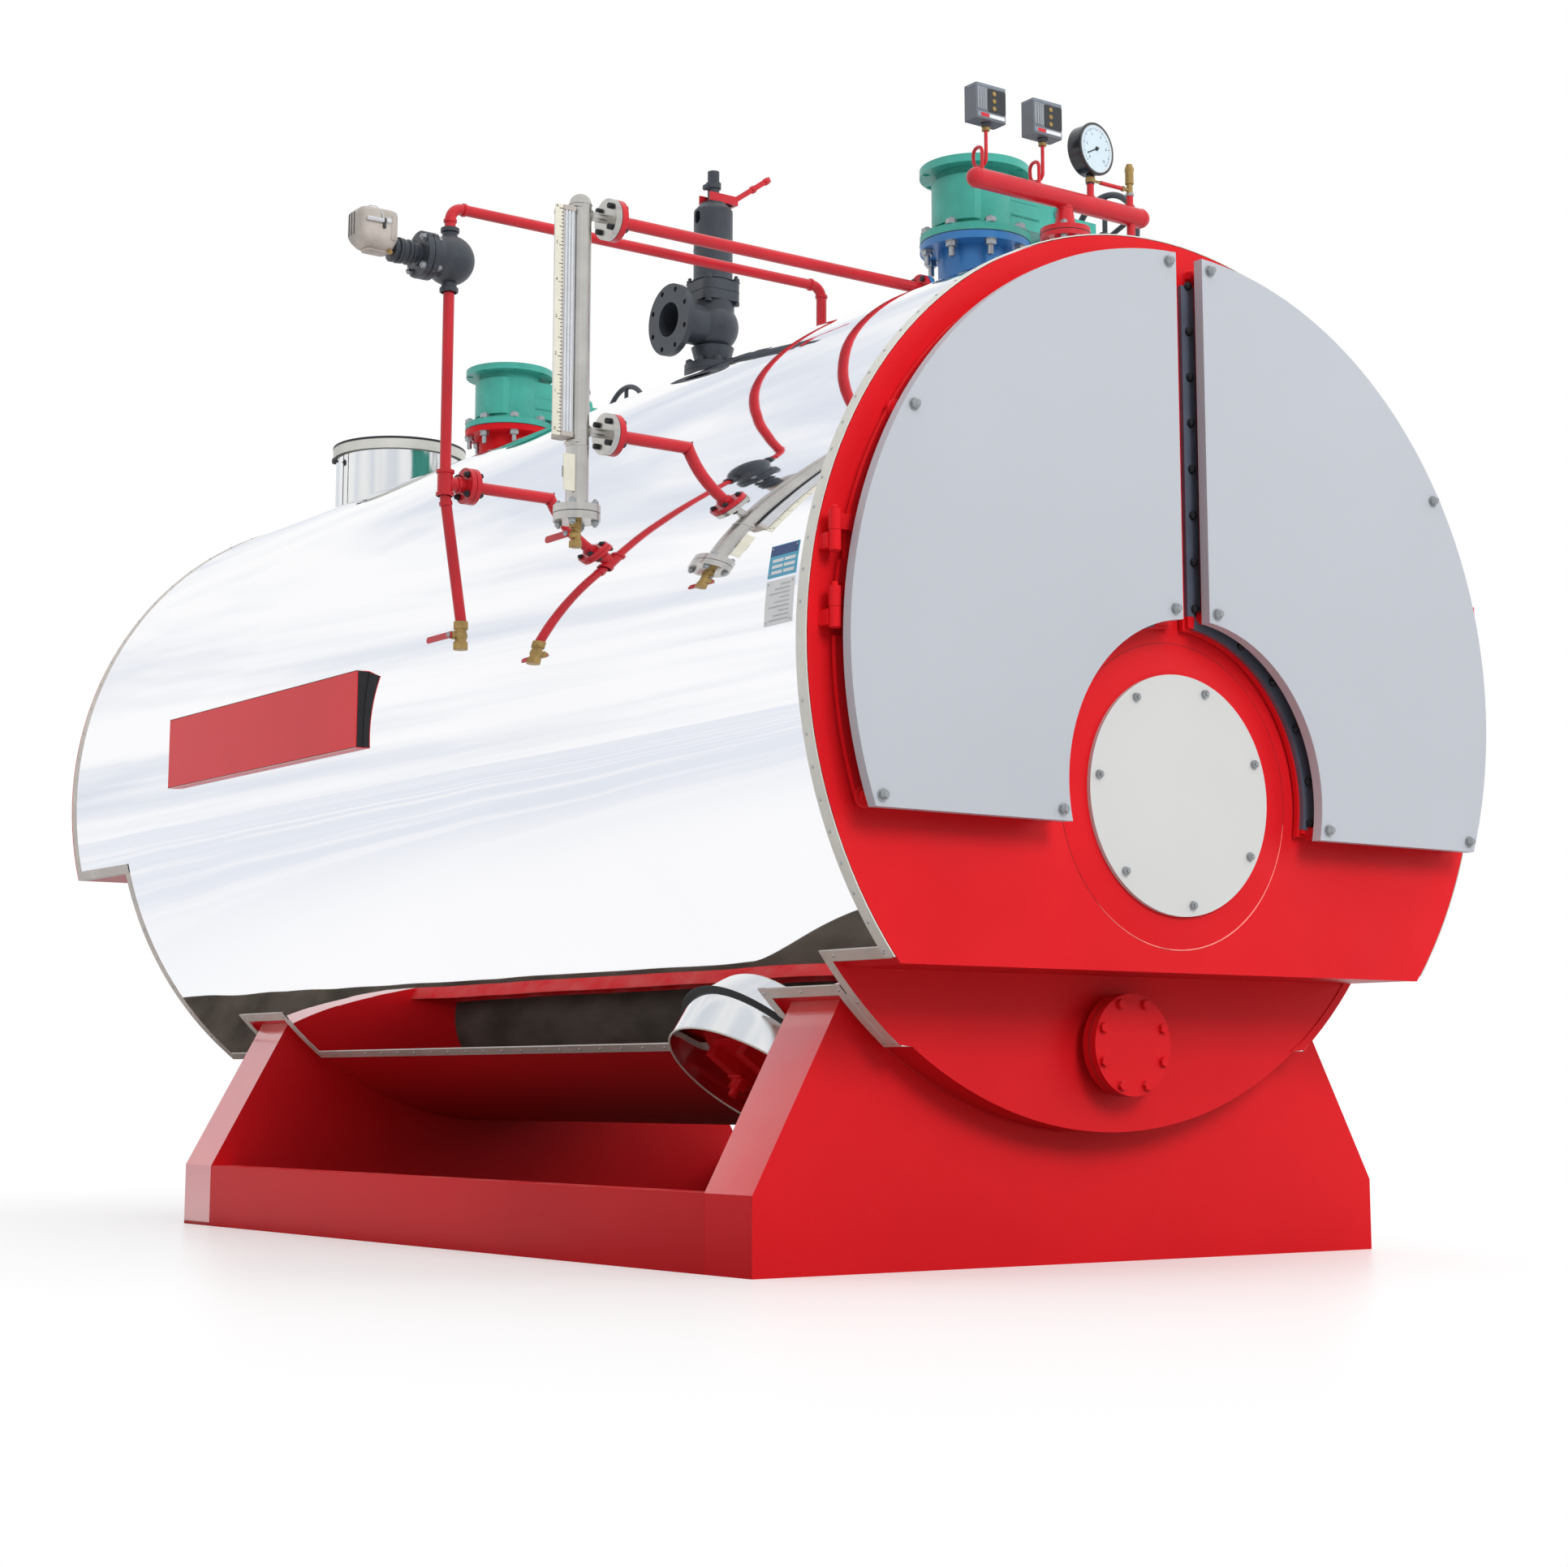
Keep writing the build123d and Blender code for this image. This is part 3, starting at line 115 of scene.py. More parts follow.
def stacked(outlines, heights):
    """A closed bar through flat outlines, each at its own height."""
    return loft([np.column_stack([line, np.full(len(line), z)]) for line, z in zip(outlines, heights)])


square = [(0, 0), (1, 0), (1, 1), (0, 1)]
print("a bar between two squares has", len(stacked([square, square], (0, 1))[1]), "faces")


# %% Turned, rounded and bent shapes
def full_turn(sides):
    """The angles of a full turn, in equal steps."""
    return np.linspace(0, 2 * np.pi, sides, endpoint=False)


def carried(section, angle):
    """A section of (radius, depth) points carried round: radius times cosine and sine, and the depth."""
    radius, depth = np.array(section, float).T[:, None]
    angle = angle[:, None]
    return radius * np.cos(angle), radius * np.sin(angle), depth + 0 * angle


def rectangle(inner, outer, low, high):
    """The section of a flat band: four (radius, depth) corners."""
    return [(inner, low), (outer, low), (outer, high), (inner, high)]


def lathe(profile, sides=24):
    """A turned shape about Z: each (radius, height) of the profile is a circle. Six sides give a hexagon."""
    return loft(np.stack(carried(profile, full_turn(sides)), -1).swapaxes(0, 1))


def rounded(width, depth, corner, per_corner=5):
    """Points round a rectangle with rounded corners: quarter circles about four inner corner points."""
    quarter = np.linspace(0, np.pi / 2, per_corner)
    angle = (quarter[None] + np.arange(4)[:, None] * np.pi / 2).ravel()
    x = np.repeat([1, -1, -1, 1], per_corner) * (width / 2 - corner) + corner * np.cos(angle)
    y = np.repeat([1, 1, -1, -1], per_corner) * (depth / 2 - corner) + corner * np.sin(angle)
    return np.stack([x, y], -1)


def block(width, depth, height, corner=3.0, bevel=1.5):
    """A rounded bar standing on Z = 0, its two ends drawn in by the bevel."""
    outlines = [
        rounded(width - 2 * inset, depth - 2 * inset, max(corner - inset, 0.3))
        for inset in (bevel, 0, 0, bevel)
    ]
    return stacked(outlines, (0, bevel, height - bevel, height))


def tube(path, radius, sides=12, closed=False):
    """A round tube: at each point of the path, a circle square to the way the path runs there."""
    path = np.array(path, float)
    ahead = np.roll(path, -1, 0) - np.roll(path, 1, 0) if closed else np.gradient(path, axis=0)
    ahead /= np.linalg.norm(ahead, axis=1)[:, None]
    guide = np.array([0, 0, 1.0]) if abs(ahead[:, 2]).max() < 0.95 else np.array([0.31, 0.95, 0.05])
    side = np.cross(ahead, guide)
    side /= np.linalg.norm(side, axis=1)[:, None]
    other = np.cross(side, ahead)
    angle = full_turn(sides)[None, :, None]
    radius = np.broadcast_to(radius, (len(path),))[:, None, None]
    points = path[:, None] + radius * (side[:, None] * np.cos(angle) + other[:, None] * np.sin(angle))
    return skin(points, close_u=True, close_v=True) if closed else loft(points)


print("a turned drum has", len(lathe([(1, 0), (1, 1)])[1]), "faces, a block", len(block(9, 9, 9)[1]))


# %% Placing shapes and making pieces
def directions(up):
    """Three directions square to each other: two across, and up itself."""
    up = np.array(up, float)
    up /= np.linalg.norm(up)
    guide = np.array([1.0, 0, 0]) if abs(up[0]) < 0.9 else np.array([0, 1.0, 0])
    across = guide - up * (guide @ up)
    across /= np.linalg.norm(across)
    return across, np.cross(up, across), up


def placed(shape, origin, up=UP, turn=0.0):
    """Moves a shape so that its Z axis points along up and its foot stands on the origin."""
    points, faces = shape
    across, along, up = directions(up)
    cosine, sine = math.cos(math.radians(turn)), math.sin(math.radians(turn))
    basis = np.stack([across * cosine + along * sine, along * cosine - across * sine, up])
    return points @ basis + np.array(origin, float), faces


def joined(*shapes):
    """Several shapes as one: their points stacked, and each face list shifted by the points before it."""
    starts = np.cumsum([0] + [len(points) for points, _ in shapes])
    faces = [np.where(f < 0, -1, f + start) for (_, f), start in zip(shapes, starts)]
    return np.vstack([points for points, _ in shapes]), np.vstack(faces)


def make(name, shapes, material, body="boiler", slot=None, angle=35, closed=True):
    """One mesh of all the shapes, riding on a body with a finish; edges past the angle stay crisp."""
    points, faces = joined(*shapes)
    used = faces >= 0
    sizes = used.sum(1)
    mesh = bpy.data.meshes.new(name)
    mesh.vertices.add(len(points))
    mesh.vertices.foreach_set("co", (points * MM).ravel())
    mesh.loops.add(int(sizes.sum()))
    mesh.loops.foreach_set("vertex_index", faces[used])
    mesh.polygons.add(len(faces))
    mesh.polygons.foreach_set("loop_start", np.concatenate([[0], np.cumsum(sizes)[:-1]]))
    mesh.update(calc_edges=True)
    mesh.validate()
    if closed:
        work = bmesh.new()
        work.from_mesh(mesh)
        bmesh.ops.recalc_face_normals(work, faces=work.faces)
        work.to_mesh(mesh)
        work.free()
    mesh.shade_smooth()
    mesh.set_sharp_from_angle(angle=math.radians(angle))
    piece = bpy.data.objects.new(name, mesh)
    bpy.context.scene.collection.objects.link(piece)
    mesh.materials.append(material)
    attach(piece, body)
    slot or usual_slot[material.name]
    print(name, len(mesh.polygons), "faces")
    return piece


# %% [markdown]
# Paint, cast iron and sheet metal share three effects: large soft patches of tone, dust that settles
# on faces that look up, and a fine relief such as orange peel. Each effect is a node group with
# named inputs, built once, and every finish mixes them with its own amounts.


# %% Node helpers
WHITE = (1.0, 1.0, 1.0, 1.0)


def wire(tree, node, sockets):
    """Sets each socket of a node to a value, or links it to the socket given."""
    for key, value in sockets.items():
        if isinstance(value, bpy.types.NodeSocket):
            tree.links.new(value, node.inputs[key])
        else:
            node.inputs[key].default_value = value
    return node


def add(tree, kind, sockets=None, **settings):
    """A new node with its plain settings and its sockets."""
    node = tree.nodes.new(kind)
    for key, value in settings.items():
        setattr(node, key, value)
    return wire(tree, node, sockets or {})


def object_place(tree):
    """The piece's own coordinates, so that a pattern stays put when the piece moves."""
    return add(tree, "ShaderNodeTexCoord").outputs["Object"]


def noise(tree, place, scale, detail, rough=0.5):
    """Soft noise from 0 to 1 at a place."""
    sockets = {"Vector": place, "Scale": scale, "Detail": detail, "Roughness": rough}
    return add(tree, "ShaderNodeTexNoise", sockets).outputs["Fac"]


def ranged(tree, value, low, high, to_low=0.0, to_high=1.0, smooth=False):
    """A value carried from one range to another and held at its ends; smooth eases the way in and out."""
    ends = {"Value": value, "From Min": low, "From Max": high, "To Min": to_low, "To Max": to_high}
    kind = "SMOOTHSTEP" if smooth else "LINEAR"
    return add(tree, "ShaderNodeMapRange", ends, interpolation_type=kind).outputs["Result"]


def maths(tree, operation, first, second=0.0):
    """One value worked out from one or two."""
    return add(tree, "ShaderNodeMath", {0: first, 1: second}, operation=operation).outputs[0]


def blend(tree, factor, first, second):
    """One colour between two: the first where the factor is 0, the second where it is 1."""
    sockets = {"Factor": factor, 6: first, 7: second}
    return add(tree, "ShaderNodeMix", sockets, data_type="RGBA").outputs[2]


# %% Shared finish effects
def new_group(name, inputs):
    """A shader node group with named inputs, colours or numbers; returns it and its input sockets."""
    group = bpy.data.node_groups.new(name, "ShaderNodeTree")
    for label, value in inputs.items():
        kind = "NodeSocketColor" if isinstance(value, tuple) else "NodeSocketFloat"
        group.interface.new_socket(name=label, in_out="INPUT", socket_type=kind).default_value = value
    return group, group.nodes.new("NodeGroupInput").outputs


def close_group(group, outputs):
    """Gives a group its outputs, each of the kind of the socket that feeds it."""
    for label, source in outputs.items():
        kind = "NodeSocketColor" if source.type == "RGBA" else "NodeSocketFloat"
        group.interface.new_socket(name=label, in_out="OUTPUT", socket_type=kind)
    wire(group, group.nodes.new("NodeGroupOutput"), outputs)
    return group


def tone_group():
    """Soft patches: noise at a given size shifts the colour lighter and darker by an amount."""
    group, given = new_group("soft patches", {"Color": WHITE, "Scale": 2.0, "Amount": 0.1})
    patch = noise(group, object_place(group), given["Scale"], 3.0)
    shift = maths(group, "MULTIPLY", ranged(group, patch, 0.3, 0.7, -1.0, 1.0), given["Amount"])
    value = maths(group, "ADD", shift, 1.0)
    tint = add(group, "ShaderNodeHueSaturation", {"Color": given["Color"], "Value": value})
    return close_group(group, {"Color": tint.outputs["Color"]})


def dust_group():
    """Dust: where the surface looks up, broken by noise, a pale dry film covers the colour."""
    inputs = {"Color": WHITE, "Roughness": 0.3, "Amount": 0.2, "Scale": 9.0}
    group, given = new_group("settled dust", inputs)
    normal = add(group, "ShaderNodeNewGeometry").outputs["Normal"]
    upward = add(group, "ShaderNodeSeparateXYZ", {"Vector": normal}).outputs["Z"]
    facing = ranged(group, upward, 0.2, 1.0)
    broken = ranged(group, noise(group, object_place(group), given["Scale"], 5.0), 0.35, 0.75)
    cover = maths(group, "MULTIPLY", maths(group, "MULTIPLY", facing, broken), given["Amount"])
    colour = blend(group, cover, given["Color"], (0.62, 0.58, 0.52, 1.0))
    rough = maths(group, "ADD", cover, given["Roughness"])
    return close_group(group, {"Color": colour, "Roughness": rough})


def relief_group():
    """Relief: two sizes of noise added up give the height of orange peel, casting sand or dents."""
    inputs = {"Fine scale": 400.0, "Fine": 0.3, "Broad scale": 6.0, "Broad": 0.3}
    group, given = new_group("relief", inputs)
    place = object_place(group)
    small = maths(group, "MULTIPLY", noise(group, place, given["Fine scale"], 2.0), given["Fine"])
    large = maths(group, "MULTIPLY", noise(group, place, given["Broad scale"], 1.0), given["Broad"])
    return close_group(group, {"Height": maths(group, "ADD", small, large)})


tone, dust, relief = tone_group(), dust_group(), relief_group()
print("effect groups", [g.name for g in (tone, dust, relief)])


# %% [markdown]
# A finish is one material with its own colour and gloss, and with the three effects at its own
# strength. All of them come from one function, so a line below holds only what differs: the colour
# as seen on a screen, the roughness, the size and strength of the patches, and the depth of relief.


# %% Finishes
def srgb(red, green, blue):
    """A colour as seen on a screen, 0 to 255, turned into the linear values that shaders use."""
    screen = np.array([red, green, blue]) / 255
    linear = np.where(screen <= 0.04045, screen / 12.92, ((screen + 0.055) / 1.055) ** 2.4)
    return (*linear.tolist(), 1.0)


PEEL = (400.0, 0.2, 6.0, 0.2)  # orange peel: fine scale and amount, then broad scale and amount
CAST = (150.0, 1.0, 20.0, 0.6)  # sandy relief of a casting
DENTED = (300.0, 0.02, 2.6, 1.0)  # broad soft dents of a sheet
ROLLED = (40.0, 0.0, 1.4, 1.0)  # long soft waves of a rolled sheet
POROUS = (260.0, 0.8, 40.0, 0.5)


def finish(
    name, colour, rough, patches, bump, metal=0.0, coat=0.0, specular=0.5, dusty=0.15, peel=PEEL, sheen=False
):
    """A painted, cast or bare metal surface: patches, dust on top faces, relief, a sheen seen edge-on."""
    material = bpy.data.materials.new(name)
    material.use_nodes = True
    tree = material.node_tree
    sockets = {"Color": srgb(*colour), "Scale": patches[0], "Amount": patches[1]}
    patched = add(tree, "ShaderNodeGroup", sockets, node_tree=tone)
    sockets = {"Color": patched.outputs["Color"], "Roughness": rough, "Amount": dusty}
    dusted = add(tree, "ShaderNodeGroup", sockets, node_tree=dust)
    sockets = dict(zip(("Fine scale", "Fine", "Broad scale", "Broad"), peel))
    raised = add(tree, "ShaderNodeGroup", sockets, node_tree=relief)
    bumped = add(tree, "ShaderNodeBump", {"Height": raised.outputs["Height"], "Distance": bump})
    shader = wire(tree, tree.nodes["Principled BSDF"], {
        "Base Color": dusted.outputs["Color"],
        "Roughness": dusted.outputs["Roughness"],
        "Normal": bumped.outputs["Normal"],
        "Metallic": metal,
        "Specular IOR Level": specular,
        "Coat Weight": coat,
        "Coat Roughness": 0.08,
    })
    if sheen:
        edge_on = add(tree, "ShaderNodeLayerWeight", {"Blend": 0.5}).outputs["Facing"]
        wire(tree, shader, {"Coat Weight": ranged(tree, edge_on, 0.46, 0.52), "Coat IOR": 3.4})
    return material


def bare_tips(material, y, colour):
    """Bare metal on what stands out past a depth: where Y is less, the colour changes and the metal shows."""
    tree = material.node_tree
    shader = tree.nodes["Principled BSDF"]
    painted = shader.inputs["Base Color"].links[0].from_socket
    place = add(tree, "ShaderNodeSeparateXYZ", {"Vector": object_place(tree)})
    past = maths(tree, "LESS_THAN", place.outputs["Y"], y)
    wire(tree, shader, {"Base Color": blend(tree, past, painted, colour), "Metallic": past})


RED = (222, 30, 38)
red_enamel = finish("red enamel", RED, 0.36, (1.3, 0.07), 0.002, specular=0.11)
# The saddles take the same red painted a little lighter: painted light against the shade of the overhang
# above them; the sheen is a coat seen edge-on.
red_frame_lit = finish("red frame enamel lit copy", (232, 31, 39), 0.36, (1.3, 0.07), 0.002, specular=0.11, sheen=True)
red_sheet = finish("red sheet", RED, 0.34, (1.6, 0.08), 0.02, specular=0.1, peel=DENTED)
red_pipe = finish("red pipe enamel", (206, 34, 46), 0.3, (7.0, 0.1), 0.001, coat=0.15, specular=0.35)
red_door = finish("red door enamel", RED, 0.36, (1.3, 0.07), 0.002, specular=0.13)
red_board = finish("red board", (240, 40, 50), 0.3, (2.0, 0.05), 0.001, specular=0.3)
mirror = finish(
    "mirror jacket", (250, 250, 252), 0.025, (0.7, 0.012), 0.004, metal=1.0, dusty=0.02, peel=ROLLED
)
polished = finish("polished steel", (232, 233, 233), 0.055, (3.0, 0.04), 0.0005, metal=1.0, dusty=0.1)
trim_grey = finish("trim strip", (214, 207, 199), 0.42, (9.0, 0.1), 0.0005, metal=0.15)
rim_cream = finish("cream rim", (226, 226, 218), 0.4, (9.0, 0.06), 0.0005, metal=0.1)
tray_silver = finish("tray enamel", (184, 189, 197), 0.42, (0.9, 0.03), 0.0006, specular=0.25)
cover_white = finish("cover enamel", (208, 210, 209), 0.4, (1.5, 0.03), 0.0006, specular=0.25)
green_cast = finish("green cast iron", (64, 176, 160), 0.42, (14.0, 0.1), 0.0012, coat=0.2, peel=CAST)
blue_enamel = finish("blue enamel", (52, 128, 196), 0.34, (9.0, 0.1), 0.001, coat=0.1)
black_cast = finish("black cast iron", (54, 60, 68), 0.45, (12.0, 0.14), 0.0012, coat=0.15, peel=CAST)
stainless = finish("drawn stainless", (196, 193, 187), 0.26, (11.0, 0.1), 0.0004, metal=1.0)
aluminium = finish("aluminium section", (205, 208, 211), 0.28, (20.0, 0.06), 0.0003, metal=0.9)
brass = finish("brass", (178, 148, 92), 0.42, (30.0, 0.15), 0.0006, metal=0.7, peel=POROUS)
zinc = finish("zinc plated", (170, 174, 176), 0.35, (60.0, 0.12), 0.0003, metal=0.9)
black_bolt = finish("black bolt", (48, 50, 54), 0.45, (60.0, 0.2), 0.0003, metal=0.4)
gasket_black = finish("gasket", (36, 37, 40), 0.7, (30.0, 0.1), 0.0004)
switch_grey = finish("switch case", (112, 118, 126), 0.45, (20.0, 0.05), 0.0003)
switch_rib = finish("switch ribs", (165, 170, 178), 0.45, (20.0, 0.05), 0.0003)
head_grey = finish("grey casting", (196, 188, 180), 0.5, (18.0, 0.14), 0.001, metal=0.25, peel=CAST)
gauge_black = finish("gauge case", (34, 37, 42), 0.25, (20.0, 0.08), 0.0002, coat=0.3)
ivory = finish("ivory plate", (226, 223, 206), 0.45, (25.0, 0.04), 0.0002)
blue_plate = finish("blue plate", (84, 174, 206), 0.4, (25.0, 0.05), 0.0002)
navy_print = finish("navy print", (52, 78, 128), 0.45, (25.0, 0.05), 0.0)
white_plate = finish("white plate", (230, 232, 234), 0.45, (25.0, 0.04), 0.0002)
faint_print = finish("faint print", (186, 190, 194), 0.45, (25.0, 0.05), 0.0)
dial_blue = finish("pale dial", (206, 224, 236), 0.35, (30.0, 0.02), 0.0, coat=0.4)
switch_lid = finish("switch lid", (134, 146, 160), 0.4, (20.0, 0.05), 0.0002)
rod_bright = finish("bright rods", (226, 228, 230), 0.14, (30.0, 0.05), 0.0, metal=0.9)
seam_highlight = finish("painted seam highlight", (244, 150, 140), 0.5, (20.0, 0.3), 0.0003)
shadow_line = finish("shaded groove", (120, 18, 24), 0.6, (20.0, 0.2), 0.0003)
strip_slate = finish("slate strip enamel", (96, 104, 120), 0.4, (10.0, 0.14), 0.0006, metal=0.15)
STUD_TIP_Y = -0.5575  # metres: the door studs are bare in front of this
bare_tips(red_door, STUD_TIP_Y, srgb(170, 174, 176))
print(len(bpy.data.materials), "finishes")

# %% [markdown]
# A slot names a kind of surface, such as brass or red paint. Most finishes go with one slot;
# make looks up a piece's slot from its finish where none is given, but doesn't keep it.

# %% Usual slots of the finishes, and finishes of the frame's own nodes
usual_slot = {
    paint.name: slot
    for slot, paints in (
        ("red_paint", (red_enamel, red_pipe, red_board, seam_highlight, shadow_line)),
        ("white_paint", (cover_white, ivory, blue_plate, navy_print, white_plate, faint_print, dial_blue)),
        ("green_paint", (green_cast,)),
        ("black_paint", (black_cast, black_bolt)),
        ("black_plastic", (gauge_black, gasket_black)),
        ("grey_plastic", (switch_rib, switch_lid)),
        ("grey_casting", (head_grey,)),
        ("brass", (brass,)),
        ("aluminium", (rod_bright,)),
        ("bright_steel", (zinc,)),
        ("polished_steel", (polished, stainless)),
        ("trim_steel", (trim_grey, rim_cream, strip_slate)),
    )
    for paint in paints
}


def dress(material, names):
    """Gives frame nodes a finish; their shapes stay as they are."""
    for name in names.split():
        slots = nodes[name].data.materials
        slots.clear()
        slots.append(material)


dress(red_enamel, "rail_left rail_right drum_shell front_tube_plate rear_tube_plate handhole_cover")
dress(red_enamel, "manhole_cover smoke_box_front burner_sleeve smoke_box_rear rear_plate rear_nozzle")
dress(red_frame_lit, "saddle_front saddle_rear")
dress(red_sheet, "front_plate")
dress(red_door, "door_left door_right")
dress(red_pipe, "gauge_manifold level_pipe_upper level_pipe_lower float_pipe_upper")
dress(red_pipe, "float_column safety_lever level_drain_lever float_drain_lever")
dress(mirror, "jacket")
dress(polished, "manhole_collar flue_outlet")
dress(rim_cream, "rim_band")
dress(cover_white, "burner_cover")
dress(tray_silver, "door_tray_left door_tray_right")
dress(green_cast, "front_valve rear_valve")
dress(blue_enamel, "front_nozzle")
dress(black_cast, "safety_valve safety_bonnet float_body front_handwheel rear_handwheel")
dress(switch_grey, "pressure_switch_1 pressure_switch_2")
dress(gauge_black, "pressure_gauge")
dress(brass, "gauge_cock level_drain float_drain")
dress(stainless, "level_chamber")
dress(aluminium, "level_indicator")
print(len(usual_slot), "finishes have a usual slot")

# %% [markdown]
# Bolts, nuts and rivets are too small for the frame, yet they give the boiler its scale. Each kind
# is worked out once as a turned or six-sided shape, and copies are laid on bolt circles as one mesh
# for each joint, so that a joint is one piece that can be hidden or swapped.


# %% Bolt, nut and rivet shapes
def hexagon(across, height, chamfer=1.2):
    """A six-sided head: a turned profile with six sides, its corners drawn in at both ends."""
    radius = across / math.sqrt(3)
    inner = radius - chamfer
    return lathe([(inner, 0), (radius, chamfer * 0.5), (radius, height - chamfer), (inner, height)], 6)


def dome(radius, height, steps, foot=0.0):
    """The profile of a dome: radius times cosine, and height times sine over its foot, up to a top face."""
    angle = np.linspace(0, np.pi / 2, steps)[:-1]
    return np.column_stack([radius * np.cos(angle), foot + height * np.sin(angle)])


def cap_nut(across, height):
    """A domed nut: a hexagon below and a quarter-round dome above, on a thin washer."""
    low = height * 0.55
    washer = lathe([(across * 0.62, 0), (across * 0.68, 0.8), (across * 0.68, 1.8), (across * 0.6, 2.4)], 20)
    top = lathe(dome(across * 0.44, height * 0.45, 6, low), 16)
    return joined(washer, placed(hexagon(across, low), (0, 0, 2)), placed(top, (0, 0, 1.5)))


def nut(across, height, tail=0.0):
    """A plain nut on its washer, with the end of the stud standing out by the tail."""
    washer = lathe([(across * 0.6, 0), (across * 0.64, 0.8), (across * 0.64, 2.0), (across * 0.56, 2.6)], 20)
    shapes = [washer, placed(hexagon(across, height), (0, 0, 2.2))]
    if tail:
        radius, end = across * 0.3, height + tail
        stud = lathe([(radius, 0), (radius, end - 1.5), (radius * 0.75, end)], 12)
        shapes.append(placed(stud, (0, 0, 2.2)))
    return joined(*shapes)


def rivet(radius, height):
    """A low domed head."""
    return lathe(dome(radius, height, 4), 8)


def band_ring(low_r, high_r, rise, length):
    """A raised band on a fitting: the high radius between a rise at its start and one at its end."""
    return lathe([(low_r, 0), (high_r, rise), (high_r, length), (low_r, length + 1.5)], 28)


print("a nut has", len(nut(20, 10, 4)[1]), "faces, a rivet", len(rivet(4, 2)[1]))


# %% Bolt circles and rings
def on_circle(shape, centre, up, radius, angles):
    """Copies of a shape on a bolt circle square to up, at the angles given in degrees."""
    across, along, up = directions(up)
    copies = []
    for degrees in angles:
        angle = math.radians(degrees)
        spot = np.array(centre) + radius * (across * math.cos(angle) + along * math.sin(angle))
        copies.append(placed(shape, spot, up, turn=degrees))
    return copies


def both_sides(shape, centre, up, gap, radius, angles):
    """The same fastener on both faces of a flange pair, its faces lying a gap to each side of the centre."""
    up = np.array(up, float)
    ahead = on_circle(shape, np.array(centre) + up * gap, up, radius, angles)
    turned = []
    for points, faces in ahead:
        height = (points - np.array(centre)) @ up
        turned.append((points - 2 * height[:, None] * up, faces[:, ::-1]))
    return ahead + turned


def ring_line(centre, up, radius, wire_r, sides=64):
    """A thin round ring, such as a gasket edge or a weld bead: a circle carried round a circle."""
    path = np.concatenate(carried([(radius, 0)], full_turn(sides)), -1)
    return placed(tube(path, wire_r, 8, closed=True), centre, up)


def hoop(centre, up, radius, low, high, thick, sides=96):
    """A flat band round an axis: a rectangle, thick by high minus low, carried round a circle."""
    grid = np.stack(carried(rectangle(radius, radius + thick, low, high), full_turn(sides)), -1)
    return placed(skin(grid, close_u=True, close_v=True), centre, up)


def both_halves(shapes):
    """The shapes and their mirror images on the other side, whose faces are turned to point outwards too."""
    return shapes + [(points * np.array([-1, 1, 1]), faces[:, ::-1]) for points, faces in shapes]


EIGHT = 22.5 + 45 * np.arange(8)
FOUR = 45 + 90 * np.arange(4)
print("bolt circles of", len(EIGHT), "and", len(FOUR))

# %% [markdown]
# The jacket's lower edges and its ends are covered by a pale flat strip, held by small rivets. A
# strip is a thin bar bent round the boiler's axis: an angle along one side of the grid and the
# strip's four corners along the other. It follows the steps that the jacket makes at the saddles.

# %% Edges of the jacket
STRIP_W = 32.0
NOTCH = 40.0  # how far the jacket is cut back each side of a saddle
JACKET_WALL = 20
RIVET_STEP = 110.0
OVER_SADDLE = 8  # gap between a saddle and the jacket over it
drum_low, drum_high = corners("drum_shell")
drum_r = drum_high[0]
head_y, tail_y = drum_low[1] - 2, drum_high[1]
rear_y = corners("rear_plate")[1][1] - END_PLATE
skirt_z = jacket_low[2]
over_z = corners("saddle_front")[1][2] + OVER_SADDLE
front_z, rear_z = corners("rim_band")[0][2], corners("rear_plate")[0][2]
saddles = [[corner[1] for corner in corners(name)] for name in ("saddle_front", "saddle_rear")]
front_gap, rear_gap = ((low - NOTCH, high + NOTCH) for low, high in saddles)
level_strips = [
    (face_y + END_PLATE, head_y, front_z),
    (head_y, front_gap[0], skirt_z),
    (front_gap[0] - STRIP_W, front_gap[1] + STRIP_W, over_z),
    (front_gap[1], rear_gap[0], skirt_z),
    (rear_gap[0] - STRIP_W, rear_gap[1] + STRIP_W, over_z),
    (rear_gap[1], tail_y, skirt_z),
    (tail_y - STRIP_W, rear_y, rear_z),
]
upright_strips = [(head_y, 1, front_z)]
upright_strips += [(y, side, over_z) for gap in (front_gap, rear_gap) for y, side in zip(gap, (-1, 1))]
upright_strips.append((tail_y, -1, rear_z))
print(len(level_strips), "level strips,", len(upright_strips), "upright ones on each side")


# %% Edge strips of the jacket
def edge_angle(z):
    """The angle from straight down at which the jacket is at a height."""
    return math.acos((axis_z - z) / jacket_r)


def bent_strip(start, end, low_y, high_y, thick, sunk=0.5):
    """A strip on the jacket's left side between two angles, with a rectangle carried round the axis."""
    steps = max(3, int(abs(end - start) / math.radians(2)))
    section = rectangle(jacket_r - sunk, jacket_r + thick, low_y, high_y)
    down, left, y = carried(section, np.linspace(start, end, steps))
    return loft(np.stack([-left, y, axis_z - down], -1))


def on_jacket(shape, angle, y, lift=0.0):
    """A shape standing on the jacket's left side."""
    way = np.array([-math.sin(angle), 0, -math.cos(angle)])
    return placed(shape, np.array([0, y, axis_z]) + way * (jacket_r + lift), way)


def rivet_count(length):
    """How many rivets hold a length of strip, at least two."""
    return max(2, round(length / RIVET_STEP))


